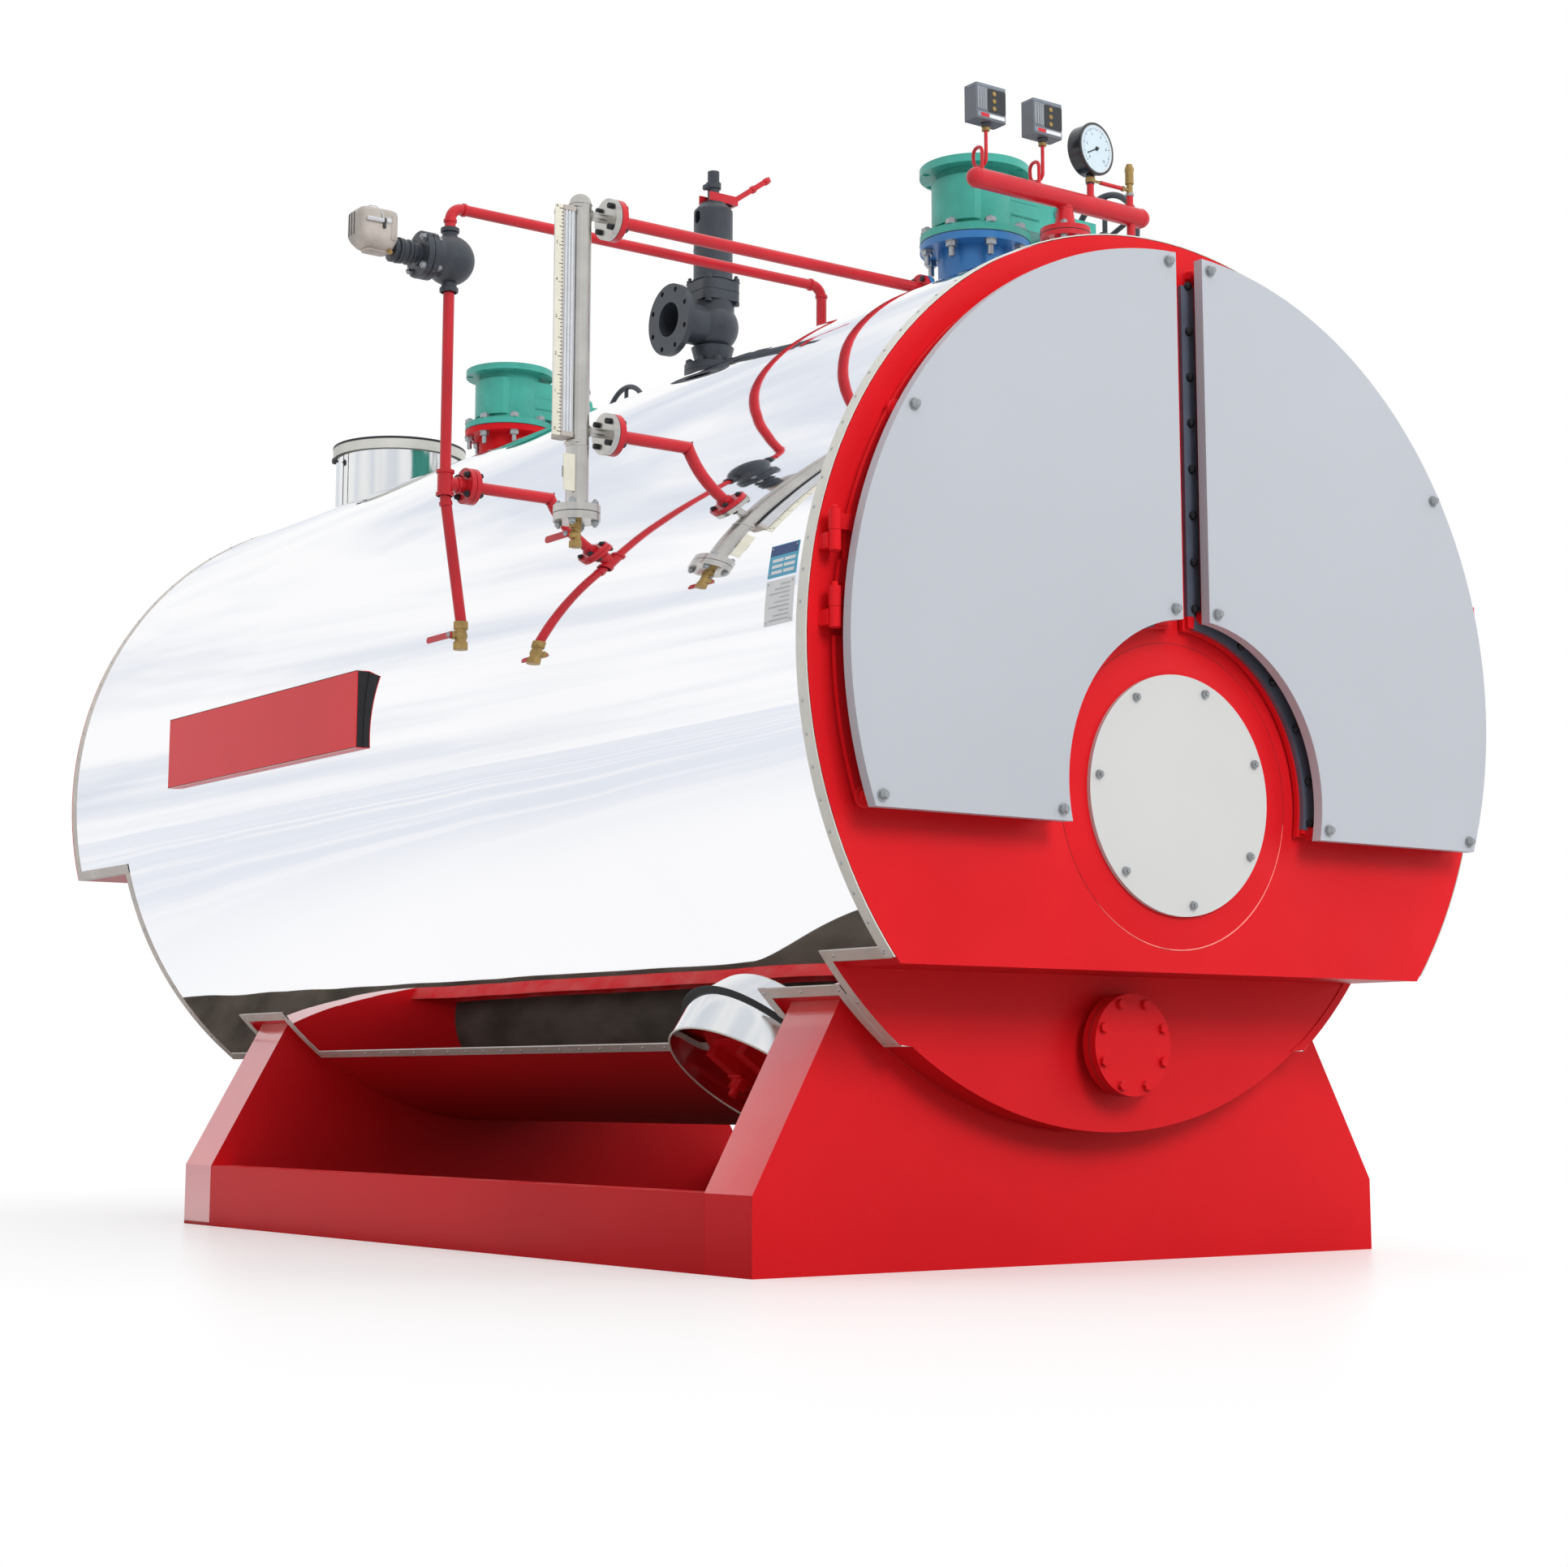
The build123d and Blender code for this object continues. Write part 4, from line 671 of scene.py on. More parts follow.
strips, rivets = [], []
strip_rivet = rivet(4.5, 2.6)
spread = STRIP_W / jacket_r
for low_y, high_y, z in level_strips:
    angle = edge_angle(z)
    outer_x = math.sqrt(jacket_r**2 - (axis_z - z) ** 2)
    inner_x = math.sqrt((jacket_r - JACKET_WALL) ** 2 - (axis_z - z) ** 2)
    under = block(outer_x - inner_x + 1, high_y - low_y, 1.2, 0.5, 0.2)
    strips.append(placed(under, (-(outer_x + inner_x) / 2, (low_y + high_y) / 2, z - 1.2)))
    strips.append(bent_strip(angle, angle + spread, low_y, high_y, 2.4))
    for y in np.linspace(low_y + STRIP_W / 2, high_y - STRIP_W / 2, rivet_count(high_y - low_y)):
        rivets.append(on_jacket(strip_rivet, angle + spread / 2, y, 2.3))
for y, side, high_z in upright_strips:
    start, end = edge_angle(skirt_z), edge_angle(high_z) + spread
    strips.append(bent_strip(start, end, *sorted((y, y + side * STRIP_W)), 1.9))
    count = rivet_count((end - start) * jacket_r)
    for angle in np.linspace(start + spread / 2, end - spread / 2, count)[1:-1]:
        rivets.append(on_jacket(strip_rivet, angle, y + side * STRIP_W / 2, 1.8))
strips.append(bent_strip(edge_angle(rear_z), math.pi, rear_y - STRIP_W, rear_y, 1.9))
band_r = corners("rim_band")[1][0]
for start, count, y, lift in (
    (edge_angle(front_z) + 0.02, 34, face_y + 26, band_r - jacket_r - 0.2),
    (edge_angle(rear_z) + 0.05, 22, rear_y - STRIP_W / 2, 1.8),
):
    for angle in np.linspace(start, math.pi - 0.03, count):
        if (band_r + 3) * math.sin(angle) < band_r:
            rivets.append(on_jacket(strip_rivet, angle, y, lift))
make("jacket_edge_strips", both_halves(strips), trim_grey)
make("jacket_rivets", both_halves(rivets), zinc, slot="trim_steel")

RING_THICK = 1.2
RING_LAP = 0.036  # radians by which a ring passes under the lower edge
end_rings = []
for high_z, y in ((front_z, head_y - RING_THICK), (rear_z, tail_y)):
    points, faces = bent_strip(edge_angle(skirt_z) - RING_LAP, edge_angle(high_z), y, y + RING_THICK, 1.5, 22)
    points[:, 2] = np.maximum(points[:, 2], skirt_z - RING_THICK)
    end_rings.append((points, faces))
make("jacket_end_rings", both_halves(end_rings), red_enamel)

# %% [markdown]
# Two small plates sit on the jacket by the front rim. Real ones carry the maker's data. Here their
# fields are blank: a thin sheet bent round the jacket, with a rivet in each corner and still thinner
# patches of another colour where the printing is.

# %% Plates on the jacket
PLATE_Y = (-404.0, -288.0)
CELL_H, CELL_W = 8, 44


def on_plate(low_z, high_z, low_y, high_y, thick=1.5):
    """A plate, or a printed area of one: a thin patch between two heights and two depths."""
    return bent_strip(edge_angle(low_z), edge_angle(high_z), low_y, high_y, thick)


for name, low_z, high_z, paint in (("upper", 1692, 1774, blue_plate), ("lower", 1572, 1684, white_plate)):
    holds = [
        on_jacket(rivet(3, 1.8), angle, y, 1.1)
        for angle in (edge_angle(low_z) + 0.007, edge_angle(high_z) - 0.007)
        for y in (PLATE_Y[0] + 8, PLATE_Y[1] - 8)
    ]
    make(f"{name}_data_plate", [on_plate(low_z, high_z, *PLATE_Y, 1.2)], paint)
    make(f"{name}_data_plate_rivets", holds, zinc, slot="trim_steel")
make("upper_plate_header", [on_plate(1747, 1772, PLATE_Y[0] + 2, PLATE_Y[1] - 2)], navy_print)
cells = [on_plate(z, z + CELL_H, y, y + CELL_W) for z in (1700, 1715, 1730) for y in (-396, -346)]
make("upper_plate_cells", cells, white_plate)
line_ends = [-304 - 22 * (step % 3) for step in range(9)]
blank_lines = [on_plate(z, z + 3, -388, end) for z, end in zip(range(1582, 1674, 11), line_ends)]
make("lower_plate_lines", blank_lines, faint_print)

# %% [markdown]
# The front carries the burner cover on seven nuts, the two silver trays on domed nuts, and the
# doors with dark bolts along their edge strip. Each stud of a tray starts at a red nut on the door.

# %% Fasteners on the front
burner_low, burner_high = corners("burner_cover")
burner_z = (burner_low[2] + burner_high[2]) / 2
BURNER_NUTS = (122, 71, 20, -31, -83, -134, 173)  # degrees
burner_nuts = on_circle(nut(19, 9, 5), (0, burner_low[1], burner_z), FRONT, 290, BURNER_NUTS)
make("burner_nuts", burner_nuts, zinc)

handhole_low, handhole_high = corners("handhole_cover")
handhole_z = (handhole_low[2] + handhole_high[2]) / 2
handhole_top, handhole_foot = ((0, y, handhole_z) for y in (handhole_low[1], handhole_high[1]))
make("handhole_bolts", on_circle(hexagon(24, 11), handhole_top, FRONT, 115, EIGHT), red_enamel)
# The thin ring is the gasket's edge; the dark band round the neck behind the cover is painted shade in the
# gap.
seam = [ring_line(handhole_foot, BACK, 134.6, 1.2), hoop(handhole_foot, FRONT, 84.5, -29, -0.5, 3, 64)]
make("handhole_gasket_and_shade", seam, gasket_black)

DOOR_THICK = 14
STRIP_THICK = 12  # the edge strip of a door stands out by this
STRIP_INNER, STRIP_OUTER = 447.0, 494.0  # radii of the strip's bend round the burner
BOLT_R = 470
door_face = face_y - 6 - DOOR_THICK
strip_face = door_face - STRIP_THICK
tray_face = corners("door_tray_right")[0][1]
stud_places = [(76, 2634), (943, 2114), (76, 1697), (1046, 1148), (477, 1148)]
boss_places = [stud_places[1], stud_places[3]]
boss = lathe([(27, 0), (27, 5), (24, 7)], 28)
for side, name, top_turn in ((-1, "left", 78), (1, "right", 83.5)):
    body = f"door_{name}"
    nuts = [placed(cap_nut(24, 16.4), (side * x, tray_face, z), FRONT, 15 * x) for x, z in stud_places]
    make(f"tray_nuts_{name}", nuts, zinc, body)
    roots = [placed(nut(34, 16), (side * x, door_face + 0.5, z), FRONT, 20) for x, z in stud_places]
    roots += [placed(boss, (side * x, door_face + 0.5, z), FRONT) for x, z in boss_places]
    make(f"tray_stud_nuts_{name}", roots, red_enamel, body)
    places = [(52, z) for z in np.arange(2603, 1700, -126.5)]
    for turn in np.radians((62, 44, 26, 8, -6)):
        places.append((BOLT_R * math.cos(turn), burner_z + BOLT_R * math.sin(turn)))
    bolts = [placed(nut(19, 8, 3), (side * x, strip_face - 1, z), FRONT) for x, z in places]
    straight = placed(block(47, 906, 13.5, 1.0, 0.6), (side * 52.5, door_face + 0.2, 2150), FRONT)
    section = rectangle(STRIP_INNER, STRIP_OUTER, -0.2, 13.3)
    x, z, depth = carried(section, np.linspace(math.radians(-8.5), math.radians(top_turn), 48))
    bend = loft(np.stack([side * x, door_face - depth, burner_z + z], -1))
    make(f"door_strip_{name}", [straight, bend], strip_slate, body)
    make(f"door_strip_bolts_{name}", bolts, black_bolt, body)

# %% [markdown]
# The burner ring is rolled into the front plate. Along the lower part of its seam the edge catches
# the light: a painted highlight, a very thin bright line lying on the plate, widest at the lower
# right. Over the rest of the circle a fine dark ring of painted shade stands for the groove.

# %% Seam round the burner
SEAM_R = 404.0
SEAM_STEPS = 90
turn = np.radians(np.linspace(-4, -142, SEAM_STEPS))
fade = np.linspace(1.0, 0.45, SEAM_STEPS)
width = 0.3 + 2.0 * np.sin(np.linspace(0, np.pi, SEAM_STEPS)) ** 0.7 * fade
seam_x, seam_z, seam_y = carried([(SEAM_R, face_y - 0.2)], turn)
seam_path = np.hstack([seam_x, seam_y, burner_z + seam_z])
# A pale line over the lower part of the seam: painted highlight where the ring's edge catches the light.
make("burner_seam_highlight", [tube(seam_path, width, 6)], seam_highlight)
# A fine dark ring along the seam's groove: painted shade.
make("burner_groove_shade", [ring_line((0, face_y, burner_z), BACK, SEAM_R, 0.8, 160)], shadow_line)

# %% [markdown]
# The stop valves are bolted to their nozzles with long studs: a nut above the green flange, and a
# nut and a bare length of stud below the painted counter-flange. A dark line marks the gasket. The
# cheek of the body carries a raised plate; the real one has cast letters, this one is bare.

# %% Stop valve details
FLANGE = 24  # thickness of each flange
STUD_CIRCLE = 147.5
STEM_UP = 115  # the stem's height over the foot of the valve
BONNET_X = 258.0  # the joint between body and bonnet
bonnet_spots = [(dy, dz) for dy in (-94, 94) for dz in (-64, 0, 64)] + [(0, -72), (0, 72)]
for name in ("front", "rear"):
    low, high = corners(f"{name}_valve")
    base_z, stem_z = low[2], low[2] + STEM_UP
    y = (low[1] + high[1]) / 2
    studs = on_circle(nut(30, 15, 5), (0, y, base_z + FLANGE), UP, STUD_CIRCLE, EIGHT)
    studs += on_circle(nut(30, 15, 30), (0, y, base_z - FLANGE), DOWN, STUD_CIRCLE, EIGHT)
    make(f"{name}_valve_studs", studs, zinc)
    joint = rounded(224, 170, 24, 8) * 0.998
    joint_path = np.column_stack([np.full(len(joint), BONNET_X), y + joint[:, 0], stem_z + joint[:, 1]])
    gasket = [ring_line((0, y, base_z), UP, 162.4, 1.6, 96), tube(joint_path, 1.6, 6, closed=True)]
    make(f"{name}_valve_gaskets", gasket, gasket_black)
    plate_z = base_z + 106
    plate = [placed(block(142, 52, 4, 4, 1.2), (96, y - 97.5, plate_z), FRONT)]
    plate += [placed(block(130, 6, 2, 2, 0.6), (96, y - 101, plate_z + dz), FRONT) for dz in (20, -20)]
    make(f"{name}_valve_plate", plate, green_cast)
    bonnet_bolts = []
    for dy, dz in bonnet_spots:
        spot = np.array([BONNET_X, y + dy, stem_z + dz])
        bonnet_bolts.append(placed(nut(22, 11, 4), spot + (22, 0, 0), RIGHT))
        if dy:
            bonnet_bolts.append(placed(hexagon(22, 11), spot - (22, 0, 0), LEFT))
    make(f"{name}_bonnet_bolts", bonnet_bolts, zinc)
    gland = [placed(block(84, 40, 12, 16, 2), (330, y, stem_z), RIGHT, 90)]
    gland += [placed(nut(16, 9, 6), (341, y + dy, stem_z), RIGHT) for dy in (-31, 31)]
    make(f"{name}_gland", gland, black_cast)

GAUGE_Y = 326.0  # the level gauge stands beside the front valve
GAUGE_PIPES = (2752, 2165)  # heights of its two pipes
branch_bolts = both_sides(hexagon(16, 7), (-201, GAUGE_Y, GAUGE_PIPES[0]), LEFT, 15, 31, FOUR)
make("branch_bolts", branch_bolts, black_bolt)

# %% [markdown]
# The safety valve is painted all over, its nuts too, so they are only told apart by their shape.

# %% Safety valve details
FOOT_FLANGE_Z = 2830
low, high = corners("safety_bonnet")
safety_y, joint_z = (low[1] + high[1]) / 2, low[2]
corner_nuts = []
for dx in (-56, 56):
    for dy in (-56, 56):
        corner_nuts.append(placed(nut(21, 13, 10), (dx, safety_y + dy, joint_z + 34)))
        corner_nuts.append(placed(hexagon(21, 11), (dx, safety_y + dy, joint_z - 34), DOWN))
corner_nuts += both_sides(nut(24, 13, 4), (0, safety_y, FOOT_FLANGE_Z), UP, 23, 78, EIGHT)
set_screw = joined(hexagon(15, 12), placed(hexagon(19, 8), (0, 0, 12)))
corner_nuts.append(placed(set_screw, (-19, safety_y, joint_z + 368), LEFT))
for dz, radius, bead in ((44, 66, 4), (150, 66, 1.5), (288, 62, 3)):
    corner_nuts.append(ring_line((0, safety_y, joint_z + dz), UP, radius, bead))
make("safety_valve_nuts", corner_nuts, black_cast)
square = rounded(144, 144, 30, 8) * 0.998 + (0, safety_y)
square_path = np.column_stack([square, np.full(len(square), joint_z)])
lines = [ring_line((0, safety_y, FOOT_FLANGE_Z), UP, 94.4, 1.2), tube(square_path, 1.2, 6, closed=True)]
make("safety_valve_joints", lines, gasket_black)
way = np.array([167.0, 0, 120.0]) / math.hypot(167, 120)
arm_start = np.array([68.0, safety_y, joint_z + 331])
knuckle = [
    placed(lathe([(10, 0), (13, 3), (13, 15), (10, 18)], 16), arm_start + way * 108, way),
    placed(lathe([(11, 0), (12, 2), (12, 18), (8, 24)], 16), arm_start + way * 176, way),
]
make("safety_lever_knuckle", knuckle, red_pipe, "safety_lever")

# %% [markdown]
# The gauge manifold is welded pipe: a bead of weld runs round each branch. Above the siphons sit
# the two pressure switches, with a dark window, a ribbed strip and brass screws on their fronts.

# %% Manifold welds
MANIFOLD_Y, MANIFOLD_Z = -164.0, 2910.0
NECK_X, NECK_FLANGE_Z = -85, 2807
PIPE_R = 26
GAUGE_X, COCK_X = 12, 162  # the branches under the pressure gauge and under the cock


def bead(x, z, up, radius, thick, sides=32):
    """A weld bead round a branch of the manifold."""
    return ring_line((x, MANIFOLD_Y, z), up, radius, thick, sides)


beads = [bead(x, MANIFOLD_Z + PIPE_R, UP, 11.5, 2.6) for x in (GAUGE_X, COCK_X)]
beads += [bead(x, MANIFOLD_Z + PIPE_R + 0.5, UP, 6.5, 2.2, 24) for x in (-384, -179)]
beads += [bead(NECK_X, MANIFOLD_Z - PIPE_R, UP, 20, 3.2), bead(NECK_X, 2823, UP, 33, 3.0)]
beads += [bead(x, MANIFOLD_Z, RIGHT, 27.6, 1.6, 48) for x in (-405, 200)]
make("manifold_welds", beads, red_pipe)
neck_bolts = both_sides(nut(18, 9, 4), (NECK_X, MANIFOLD_Y, NECK_FLANGE_Z), UP, 15, 54, FOUR)
make("manifold_neck_bolts", neck_bolts, zinc)
make("manifold_neck_gasket", [bead(NECK_X, NECK_FLANGE_Z, UP, 69.4, 1.4, 64)], gasket_black)

# %% Pressure switches and cock
for number in (1, 2):
    low, high = corners(f"pressure_switch_{number}")
    case_z = low[2] + 18
    x, front_y = (low[0] + high[0]) / 2, low[1]
    screw = lathe([(6.5, 0), (6.5, 1.5), (5, 2.6)], 16)
    brassy = [placed(hexagon(21, 10), (x + 2, MANIFOLD_Y, low[2] - 4))]
    brassy += [placed(screw, (x + 8, front_y - 2.2, case_z + dz), FRONT) for dz in (34, 55, 76)]
    make(f"switch_brass_{number}", brassy, brass)
    neck = placed(lathe([(11, 0), (15, 6), (15, 12)], 24), (x + 2, MANIFOLD_Y, case_z - 12))
    window = placed(block(62, 66, 3, 4, 1), (x + 19, front_y + 0.5, case_z + 56), FRONT)
    make(f"switch_window_{number}", [neck, window], gauge_black)
    rib = block(3.2, 62, 2.4, 1, 0.4)
    ribs = [placed(rib, (x + dx, front_y + 0.2, case_z + 57), FRONT) for dx in np.arange(-48, -15, 5.5)]
    make(f"switch_ribs_{number}", ribs, switch_rib)
    for part, paint, width, dx in (("label", red_pipe, 28, -24), ("plate", white_plate, 54, 19)):
        strip = placed(block(width, 10, 0.8, 1.5, 0.2), (x + dx, front_y - 1.4, case_z + 11), FRONT)
        make(f"switch_{part}_{number}", [strip], paint, slot="white_paint")
    band = [placed(block(100, 14, 2, 3, 0.6), (x, front_y + 0.2, case_z + 11), FRONT)]
    band.append(placed(block(106.6, 54.6, 5, 5, 1.2), (x, MANIFOLD_Y, case_z + 93)))
    band.append(placed(block(26, 20, 7, 4, 1.5), (x - 22, MANIFOLD_Y, case_z + 96)))
    make(f"switch_band_{number}", band, switch_lid)

COCK_Z = 2986  # the cock's own axis
cock = [placed(hexagon(across, 12), (COCK_X, MANIFOLD_Y, z)) for across, z in ((22, 3004), (24, 3040))]
cock.append(placed(block(11, 11, 13, 2, 1), (COCK_X, MANIFOLD_Y, 3049)))
cock.append(placed(hexagon(14, 10), (COCK_X - 21, MANIFOLD_Y, COCK_Z), LEFT))
cock.append(placed(hexagon(25, 16), (GAUGE_X, MANIFOLD_Y, 2978)))
make("cock_hexagons", cock, brass)
link = placed(lathe([(6, 0), (6, 78)], 16), (COCK_X - 34, MANIFOLD_Y, COCK_Z), LEFT)
make("gauge_link", [link], red_pipe)
collar = placed(lathe([(11.5, 0), (12.2, 1), (12.2, 7), (11.5, 8)], 24), (COCK_X, MANIFOLD_Y, 2968))
make("cock_collar", [collar], zinc)

# %% [markdown]
# The pressure gauge is a black case with a thin bezel, a white inner ring and a pale blue dial. Its
# marks and numbers are only a plain pressure scale. Ticks are small bars set round the dial by
# angle, 45 degrees either side of straight down being left free, as on most gauges.


# %% Pressure gauge dial
def numerals(words, size):
    """Plain figures as a flat shape in the XY plane, centred on the origin, from Blender's own font."""
    curve = bpy.data.curves.new("figures", "FONT")
    curve.body = words
    curve.size = size
    curve.align_x = curve.align_y = "CENTER"
    curve.extrude = 0.15
    carrier = bpy.data.objects.new("figures", curve)
    bpy.context.scene.collection.objects.link(carrier)
    mesh = bpy.data.meshes.new_from_object(carrier)
    mesh.calc_loop_triangles()
    points = np.empty(len(mesh.vertices) * 3)
    mesh.vertices.foreach_get("co", points)
    triangles = np.empty(len(mesh.loop_triangles) * 3, int)
    mesh.loop_triangles.foreach_get("vertices", triangles)
    triangles = triangles.reshape(-1, 3)
    bpy.data.objects.remove(carrier)
    bpy.data.curves.remove(curve)
    bpy.data.meshes.remove(mesh)
    return points.reshape(-1, 3), np.column_stack([triangles, np.full(len(triangles), -1)])


DIAL_TURN = math.radians(9)  # the gauge looks a little to the right
dial_way = np.array([math.sin(DIAL_TURN), -math.cos(DIAL_TURN), 0])
dial_side = np.array([math.cos(DIAL_TURN), math.sin(DIAL_TURN), 0])
dial_middle = np.array([GAUGE_X, MANIFOLD_Y, 3072.0])


def on_dial(shape, lift, radius=0.0, angle=0.0, turn=0.0):
    """A shape standing on the dial, out from its middle by a radius at an angle."""
    out = dial_side * radius * math.cos(angle) + np.array([0, 0, radius * math.sin(angle)])
    return placed(shape, dial_middle + dial_way * lift + out, dial_way, turn)


bezel = lathe([(75.4, 0), (75.8, 3), (75.0, 8), (69.0, 8.8), (68.5, 2.5)], 72)
make("gauge_bezel", [on_dial(bezel, 17)], gauge_black)
make("gauge_ring", [on_dial(lathe([(68.4, 0), (68.4, 4.4), (65.5, 3.4)], 72), 20.4)], cover_white)
make("gauge_dial", [on_dial(lathe([(65.8, 0), (65.8, 1.2)], 72), 23.2)], dial_blue)
marks = []
for step in range(51):
    angle = math.radians(225 - step * 270 / 50)
    width, length = (1.4, 8) if step % 5 == 0 else (0.8, 4.5)
    bar = block(width, length, 0.5, 0.2, 0.1)
    marks.append(on_dial(bar, 24.3, 60 - length / 2, angle, math.degrees(angle) - 90))
    if step % 10 == 0:
        marks.append(on_dial(numerals(str(step // 5), 11), 24.5, 43, angle))
NEEDLE = 207  # degrees
marks.append(on_dial(block(3.2, 58, 1.0, 0.6, 0.2), 25.6, 17, math.radians(NEEDLE), NEEDLE - 90))
marks.append(on_dial(lathe([(6, 0), (6, 1.6), (4.5, 2.6)], 24), 25.2))
make("gauge_marks", marks, black_bolt, slot="black_plastic", closed=False)

# %% [markdown]
# The level gauge is a steel chamber with a rail of glass rods beside it and a scale strip. It hangs
# between two flange pairs on dark socket screws, and ends in a closed pair above its drain valve.

# %% Level gauge joints
CHAMBER_X = -1362.0
PAIR_X, PAIR_FLANGE = -1264, 19  # joint of the two flange pairs, and the thickness of a flange
FOOT_Z = 1939
screw_head = lathe([(7.5, 0), (8, 0.8), (8, 10), (7, 11)], 18)
socket_screw = joined(screw_head, placed(hexagon(7, 1.2, 0.1), (0, 0, 10.4)))
screws, packing, bands = [], [], []
for z in GAUGE_PIPES:
    screws += on_circle(socket_screw, (PAIR_X - PAIR_FLANGE, GAUGE_Y, z), LEFT, 41, FOUR)
    screws += on_circle(nut(15, 9, 3), (PAIR_X + PAIR_FLANGE, GAUGE_Y, z), RIGHT, 41, FOUR)
    packing.append(ring_line((PAIR_X, GAUGE_Y, z), RIGHT, 52, 1.6))
    bands.append(ring_line((-1330, GAUGE_Y, z), RIGHT, 14, 2.5, 32))
packing.append(ring_line((CHAMBER_X, GAUGE_Y, FOOT_Z), UP, 58, 2.0))
bands += [ring_line((CHAMBER_X, GAUGE_Y, z), UP, 30.2, 1.6) for z in (2774, 2118, 1964)]
foot = both_sides(nut(17, 9, 5), (CHAMBER_X, GAUGE_Y, FOOT_Z), UP, 21, 49, FOUR)
make("gauge_flange_screws", screws, black_bolt)
make("gauge_foot_bolts", foot, zinc)
make("gauge_packings", packing, gasket_black)
make("gauge_welds", bands, stainless)

# %% Level gauge rail and scale
rail_low, rail_high = 2136.0, 2756.0
PLATE_Z = 2042  # the small plate below the rail
half_turn = np.linspace(np.pi, 2 * np.pi, 9)
rods = []
for x in (-1419, -1409.5, -1400):
    half_round = np.column_stack([x + 4.4 * np.cos(half_turn), 302.5 + 4.4 * np.sin(half_turn)])
    rods.append(stacked([half_round, half_round], (rail_low + 12, rail_high - 12)))
make("gauge_rods", rods, rod_bright)
ends = [placed(block(37, 56, 14, 4, 1.5), (-1409.5, 325, z)) for z in (rail_low - 1, rail_high - 12)]
ends.append(placed(block(7, 8, rail_high - rail_low, 1.5, 0.6), (-1428, 305, rail_low)))
make("gauge_rail_ends", ends, head_grey, slot="aluminium")
clips = [placed(block(46, 60, 9, 22, 1.5), (-1372, GAUGE_Y, z)) for z in (2124, 2762)]
make("gauge_clips", clips, stainless)

rail_middle = (rail_low + rail_high) / 2
strip = placed(block(27, rail_high - rail_low, 1.2, 1.5, 0.4), (-1440, 302.4, rail_middle), FRONT)
small_plate = placed(block(35, 98, 2.2, 2, 0.5), (-1401, 303, PLATE_Z), FRONT)
make("gauge_strip", [strip, small_plate], ivory)
bracket = placed(block(60, 30, 2.0, 2, 0.5), (-1392, 305.4, PLATE_Z), FRONT)
bracket_rivet = placed(rivet(3.5, 2), (-1366, 303.2, PLATE_Z), FRONT)
make("gauge_plate_bracket", [bracket, bracket_rivet], stainless)
ticks = []
for step in range(61):
    z = rail_low + 10 + step * 10
    length = 13 if step % 5 == 0 else 7
    ticks.append(placed(block(length, 2.0, 0.4, 0.2, 0.1), (-1427.5 - length / 2, 301.3, z), FRONT))
    if step % 10 == 0:
        ticks.append(placed(numerals(str(step // 10), 13), (-1447, 301.1, z + 6), FRONT))
make("gauge_ticks", ticks, black_bolt, slot="black_plastic", closed=False)

# %% [markdown]
# The drain valves are brass ball valves: a hexagon at each end of a round body, and a red lever on
# a spindle with its nut. The lever turns with its own body, so its nut rides on that body.

# %% Drain valve details
FLOAT_X, FLOAT_Y, FLOAT_Z = -1370.0, 1025.0, 2798.0
for name, x, y, radius, low_z, high_z in (
    ("level", -1368.0, GAUGE_Y, 14.0, 1850.0, 1918.0),
    ("float", -1311.0, FLOAT_Y, 20.0, 1677.0, 1757.0),
):
    middle_z, end = (low_z + high_z) / 2, (high_z - low_z) * 0.24
    hexes = [placed(hexagon(radius * 2.02, end), (x, y, z)) for z in (low_z + 0.5, high_z - end - 0.5)]
    ball_angle = np.linspace(-1.15, 1.15, 9)
    ball = radius * 0.98 * np.column_stack([np.cos(ball_angle), np.sin(ball_angle)])
    hexes.append(placed(lathe(ball), (x, y, middle_z)))
    hexes.append(placed(hexagon(radius * 1.1, 8), (x - radius, y, middle_z), LEFT))
    make(f"{name}_drain_hexagons", hexes, brass)
    lever = f"{name}_drain_lever"
    tip = placed(nut(11, 5, 2), (corners(lever)[0][0], y, middle_z), LEFT)
    make(f"{name}_lever_nut", [tip], zinc, lever)

# %% [markdown]
# The float switch stands on a column of red pipe with threaded fittings: a band marks each socket.
# Its round body ends in a lobed flange pair, a ribbed neck and a grey cast head with a clamp rod. The
# head is smaller than its solid in the frame, so the casting made here stands for that solid.

# %% Float switch neck and column
COLUMN_Z = 2148  # height of the flange pair of the column
BALANCE_Z = 2956  # height of the balance pipe
angle = full_turn(96)
lobe_r = 57 + 14 * np.abs(np.cos(2 * (angle - np.pi / 4))) ** 6
lobes = []
for start, end in ((-1432.5, -1449.5), (-1452.5, -1469.5)):
    rings = []
    for x, inset in ((start, 1.5), (start - 1.5, 0), (end + 1.5, 0), (end, 1.5)):
        radius = lobe_r - inset + 1
        y, z = FLOAT_Y + radius * np.cos(angle), FLOAT_Z + radius * np.sin(angle)
        rings.append(np.column_stack([np.full(len(angle), x), y, z]))
    lobes.append(loft(rings))
for x, profile in (
    (-1470, [(33, 0), (33, 6), (26, 10), (26, 18), (33, 22), (33, 28)]),
    (-1497, [(24, 0), (36, 5), (36, 12), (30, 16), (30, 22), (36, 26), (36, 33)]),
    (-1528, [(31, 0), (37, 4), (37, 11), (31, 14), (31, 18), (36, 21), (36, 29), (33, 31)]),
):
    lobes.append(placed(lathe(profile, 36), (x, FLOAT_Y, FLOAT_Z), LEFT))
collar = lathe([(24, 0), (27, 2), (27, 13), (24, 15)], 32)
lobes += [placed(collar, (FLOAT_X, FLOAT_Y, z)) for z in (2879, 2703)]
make("float_neck_lobes", lobes, black_cast)
